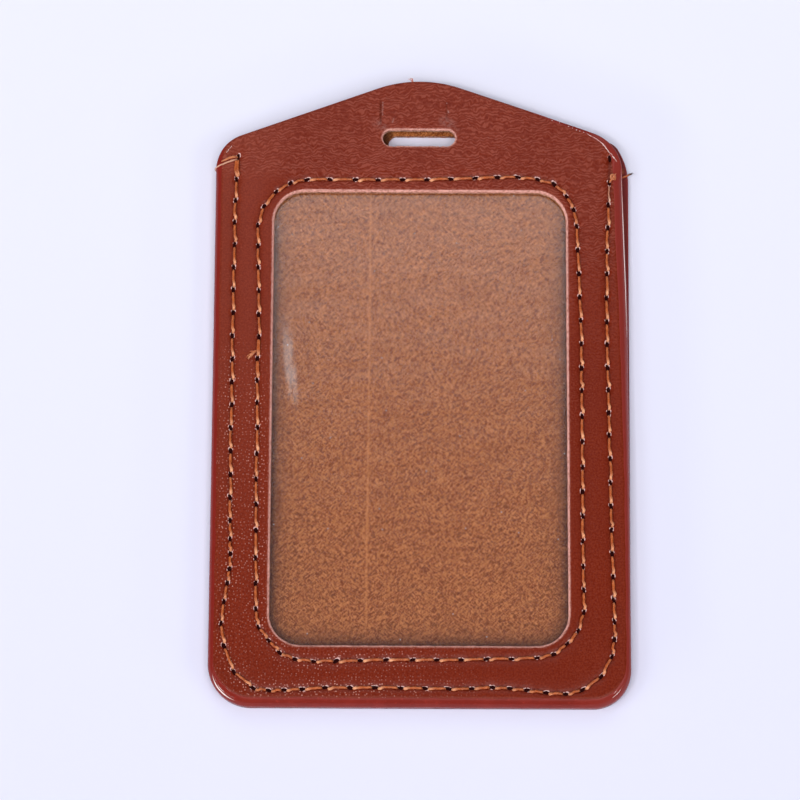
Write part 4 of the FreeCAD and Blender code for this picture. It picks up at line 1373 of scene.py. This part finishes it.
# frayed tail at the doubled stitches of the window seam
rng = np.random.default_rng(81)
for k in range(7):
    tip = np.array([(-29.30, 4.98), (-29.1, 4.75), (-28.96, 4.63), (-28.72, 5.5), (-29.2, 5.25), (-28.6, 4.9), (-28.75, 5.95)][k])
    root = np.array([-27.52, 6.20]) + rng.normal(0, 0.05, 2)
    mid = root * 0.5 + tip * 0.5 + rng.normal(0, 0.10, 2)
    p = over([root, root * 0.72 + mid * 0.28, mid, tip * 0.7 + mid * 0.3, tip], [0.16, 0.34, 0.40 + rng.uniform(-0.05, 0.12), 0.30 + rng.uniform(0, 0.2), 0.16 + rng.uniform(0, 0.2)])
    strand(b, p, [0.10, 0.11, 0.10, 0.08, 0.03], n=18, sides=8, plies=2, ply=0.1, bright=rng.uniform(0.1, 0.8), burnt=0.0)

# curled knot near the top of the right side
for k in range(5):
    c = np.array([32.72, 37.32])
    t = np.linspace(0.0, rng.uniform(3.8, 5.4), 12)
    t0 = k * 1.35 + rng.uniform(-0.4, 0.4)
    rad = np.linspace(0.60, 0.30, 12) * rng.uniform(0.80, 1.08)
    xy = c + np.stack([0.9 * rad * np.cos(t + t0), rad * np.sin(t + t0)], 1) + rng.normal(0, 0.04, 2)
    lift = 0.10 + 0.30 * np.sin(np.linspace(0.2, 2.6, 12)) * rng.uniform(0.7, 1.2)
    strand(b, over(xy, lift), [0.06, 0.10, 0.09, 0.06], n=34, sides=10, plies=2, ply=0.12, bright=[0.0, rng.uniform(0.1, 0.7), 0.1], burnt=[0.1, 0.0, 0.15])
p = over([(32.10, 36.50), (32.28, 36.75), (32.5, 37.0), (32.9, 37.55), (33.2, 37.95)], [-0.5, 0.10, 0.16, 0.34, 0.40])
strand(b, p, [0.14, 0.15, 0.14, 0.11, 0.05], n=24, bright=[0, 0.2, 0.2, 0.4, 0.5], burnt=0.0)

# thread end caught in the seam of the right side, singed at its tip
p = [(34.1, 37.95, 1.15), (34.6, 38.12, 1.24), (35.15, 38.32, 1.32), (35.60, 38.52, 1.38), (35.93, 38.68, 1.38), (36.10, 38.67, 1.34)]
strand(b, p, [0.12, 0.15, 0.16, 0.16, 0.18, 0.09], n=28, bright=[0, 0, 0.1, 0.0, 0, 0], burnt=[0, 0, 0, 0.1, 0.85, 1.0])
for k in range(3):
    q = np.array(p) + np.outer(np.linspace(0, 1, len(p)), rng.normal(0, 0.12, 3) + np.array([0.06, 0.0, 0.1]))
    strand(b, q, [0.05, 0.05, 0.05, 0.045, 0.04, 0.02], n=16, sides=6, plies=1, ply=0.0, bright=0.3, burnt=[0, 0, 0, 0.2, 0.9, 1.0])
loose_threads = b.object("loose_threads", [THREAD, THREAD_PALE], 60.0)
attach(loose_threads, "wallet")

# a wisp of fibre on the cut edge of the crown
b = Body()
for k in range(6):
    root = np.array([-1.45, 54.40, 3.30]) + rng.normal(0, 0.10, 3) * np.array([1.0, 0.3, 0.5])
    tip = np.array([-2.15, 54.98, 3.55]) + rng.normal(0, 0.20, 3)
    mid = 0.5 * (root + tip) + np.array([0.1, 0.18, 0.15]) + rng.normal(0, 0.08, 3)
    strand(b, [root, 0.6 * root + 0.4 * mid, mid, 0.5 * (mid + tip), tip], [0.05, 0.05, 0.045, 0.035, 0.015], n=14, sides=6, plies=1, ply=0.0,
           bright=0.7, burnt=0.0)
crown_wisp = b.object("crown_wisp", [WISP], 60.0)
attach(crown_wisp, "front_lip")


# --------------------------------------------------------- floor and lights
def floor_mat():
    m = Mat("floor")
    p = m.cad()
    y = m.node("ShaderNodeSeparateXYZ", {0: p}).outputs[1]
    # painted light: the floor is lighter towards the far side
    far = m.math("ADD", m.rng(y, -75.0, 75.0, 0.0, 0.9, "LINEAR"), m.math("MULTIPLY", m.noise(p, 0.02, 2.0), 0.1))
    m.surface(Base_Color=m.mix(far, (0.780, 0.787, 0.980), (0.830, 0.840, 0.990)), Roughness=0.85, IOR=1.4, Specular_IOR_Level=0.2)
    return m.m


me = bpy.data.meshes.new("floor")
s = 3.0
me.from_pydata([(-s, -s, -0.00002), (s, -s, -0.00002), (s, s, -0.00002), (-s, s, -0.00002)], [], [(0, 1, 2, 3)])
me.materials.append(floor_mat())
floor = bpy.data.objects.new("floor", me)
bpy.context.scene.collection.objects.link(floor)

world = bpy.data.worlds.new("studio")
bpy.context.scene.world = world
world.use_nodes = True
bg = world.node_tree.nodes["Background"]
bg.inputs[0].default_value = (0.95, 0.955, 1.0, 1.0)
bg.inputs[1].default_value = 0.066


def area(name, at, size, power, colour=(1, 1, 1), to=(0.0, 0.0, 0.0)):
    d = bpy.data.lights.new(name, "AREA")
    d.shape = "RECTANGLE"
    d.size, d.size_y = size
    d.energy = power
    d.color = colour
    o = bpy.data.objects.new(name, d)
    bpy.context.scene.collection.objects.link(o)
    o.location = at
    o.rotation_euler = (Vector(to) - Vector(at)).to_track_quat("-Z", "Y").to_euler()
    return o


def soft(name, at, size, radiance, colour=(1, 1, 1)):
    area(name, at, size, math.pi * size[0] * size[1] * radiance, colour)


def sky(name, azimuth, height, far, size, radiance, colour=(1, 1, 1)):
    """Soft panel seen from the wallet in a compass direction (0 = up the picture, clockwise) and at a height, both in degrees."""
    a, e = math.radians(azimuth), math.radians(height)
    soft(name, (far * math.cos(e) * math.sin(a), far * math.cos(e) * math.cos(a), far * math.sin(e)), (size[0] * far, size[1] * far), radiance, colour)


sky("key", 233.0, 58.0, 1.4, (0.08, 0.08), 61.0, (1.0, 0.985, 0.97))
sky("south_high", 180.0, 68.0, 6.0, (0.90, 0.45), 1.66)
sky("south_low", 180.0, 48.0, 6.0, (0.80, 0.45), 1.36)
sky("south_west_high", 225.0, 66.0, 6.0, (0.45, 0.45), 1.62)
sky("south_west_low", 236.0, 13.0, 6.0, (0.90, 0.022), 42.0)
sky("south_east_high", 135.0, 68.0, 6.0, (0.45, 0.45), 1.95)
sky("south_east_low", 112.0, 34.0, 6.0, (0.60, 0.20), 3.60)
sky("south_east_strip", 124.0, 12.0, 6.0, (0.45, 0.03), 22.0)
sky("west", 262.0, 42.0, 6.0, (0.50, 0.30), 3.70)
sky("top", 180.0, 89.0, 6.0, (0.80, 0.25), 0.95)
sky("north_low", 0.0, 40.0, 6.0, (0.80, 0.35), 1.40)
soft("north", (0.0, 0.359, 0.716), (0.4, 0.24), 1.58, (0.97, 0.98, 1.0))

# -------------------------------------------------------------------- camera
cam = bpy.data.cameras.new("camera")
cam.sensor_fit = "HORIZONTAL"
cam.sensor_width = 36.0
cam.lens = 36.0 * 4242.0 / 800.0
cam.clip_start = 0.01
camera = bpy.data.objects.new("camera", cam)
bpy.context.scene.collection.objects.link(camera)
tilt, roll = math.radians(16.0), 0.00469
d = Vector((0.0, math.sin(tilt), -math.cos(tilt)))
right, up = Vector((1.0, 0.0, 0.0)), Vector((0.0, math.cos(tilt), math.sin(tilt)))
cx, cy = right * math.cos(roll) + up * math.sin(roll), up * math.cos(roll) - right * math.sin(roll)
camera.matrix_world = Matrix(((cx.x, cy.x, -d.x, -0.003423), (cx.y, cy.y, -d.y, -0.19862), (cx.z, cy.z, -d.z, 0.68802), (0, 0, 0, 1)))
bpy.context.scene.camera = camera

scene = bpy.context.scene
scene.view_settings.view_transform = "Standard"
scene.view_settings.look = "None"

bpy.context.view_layer.update()
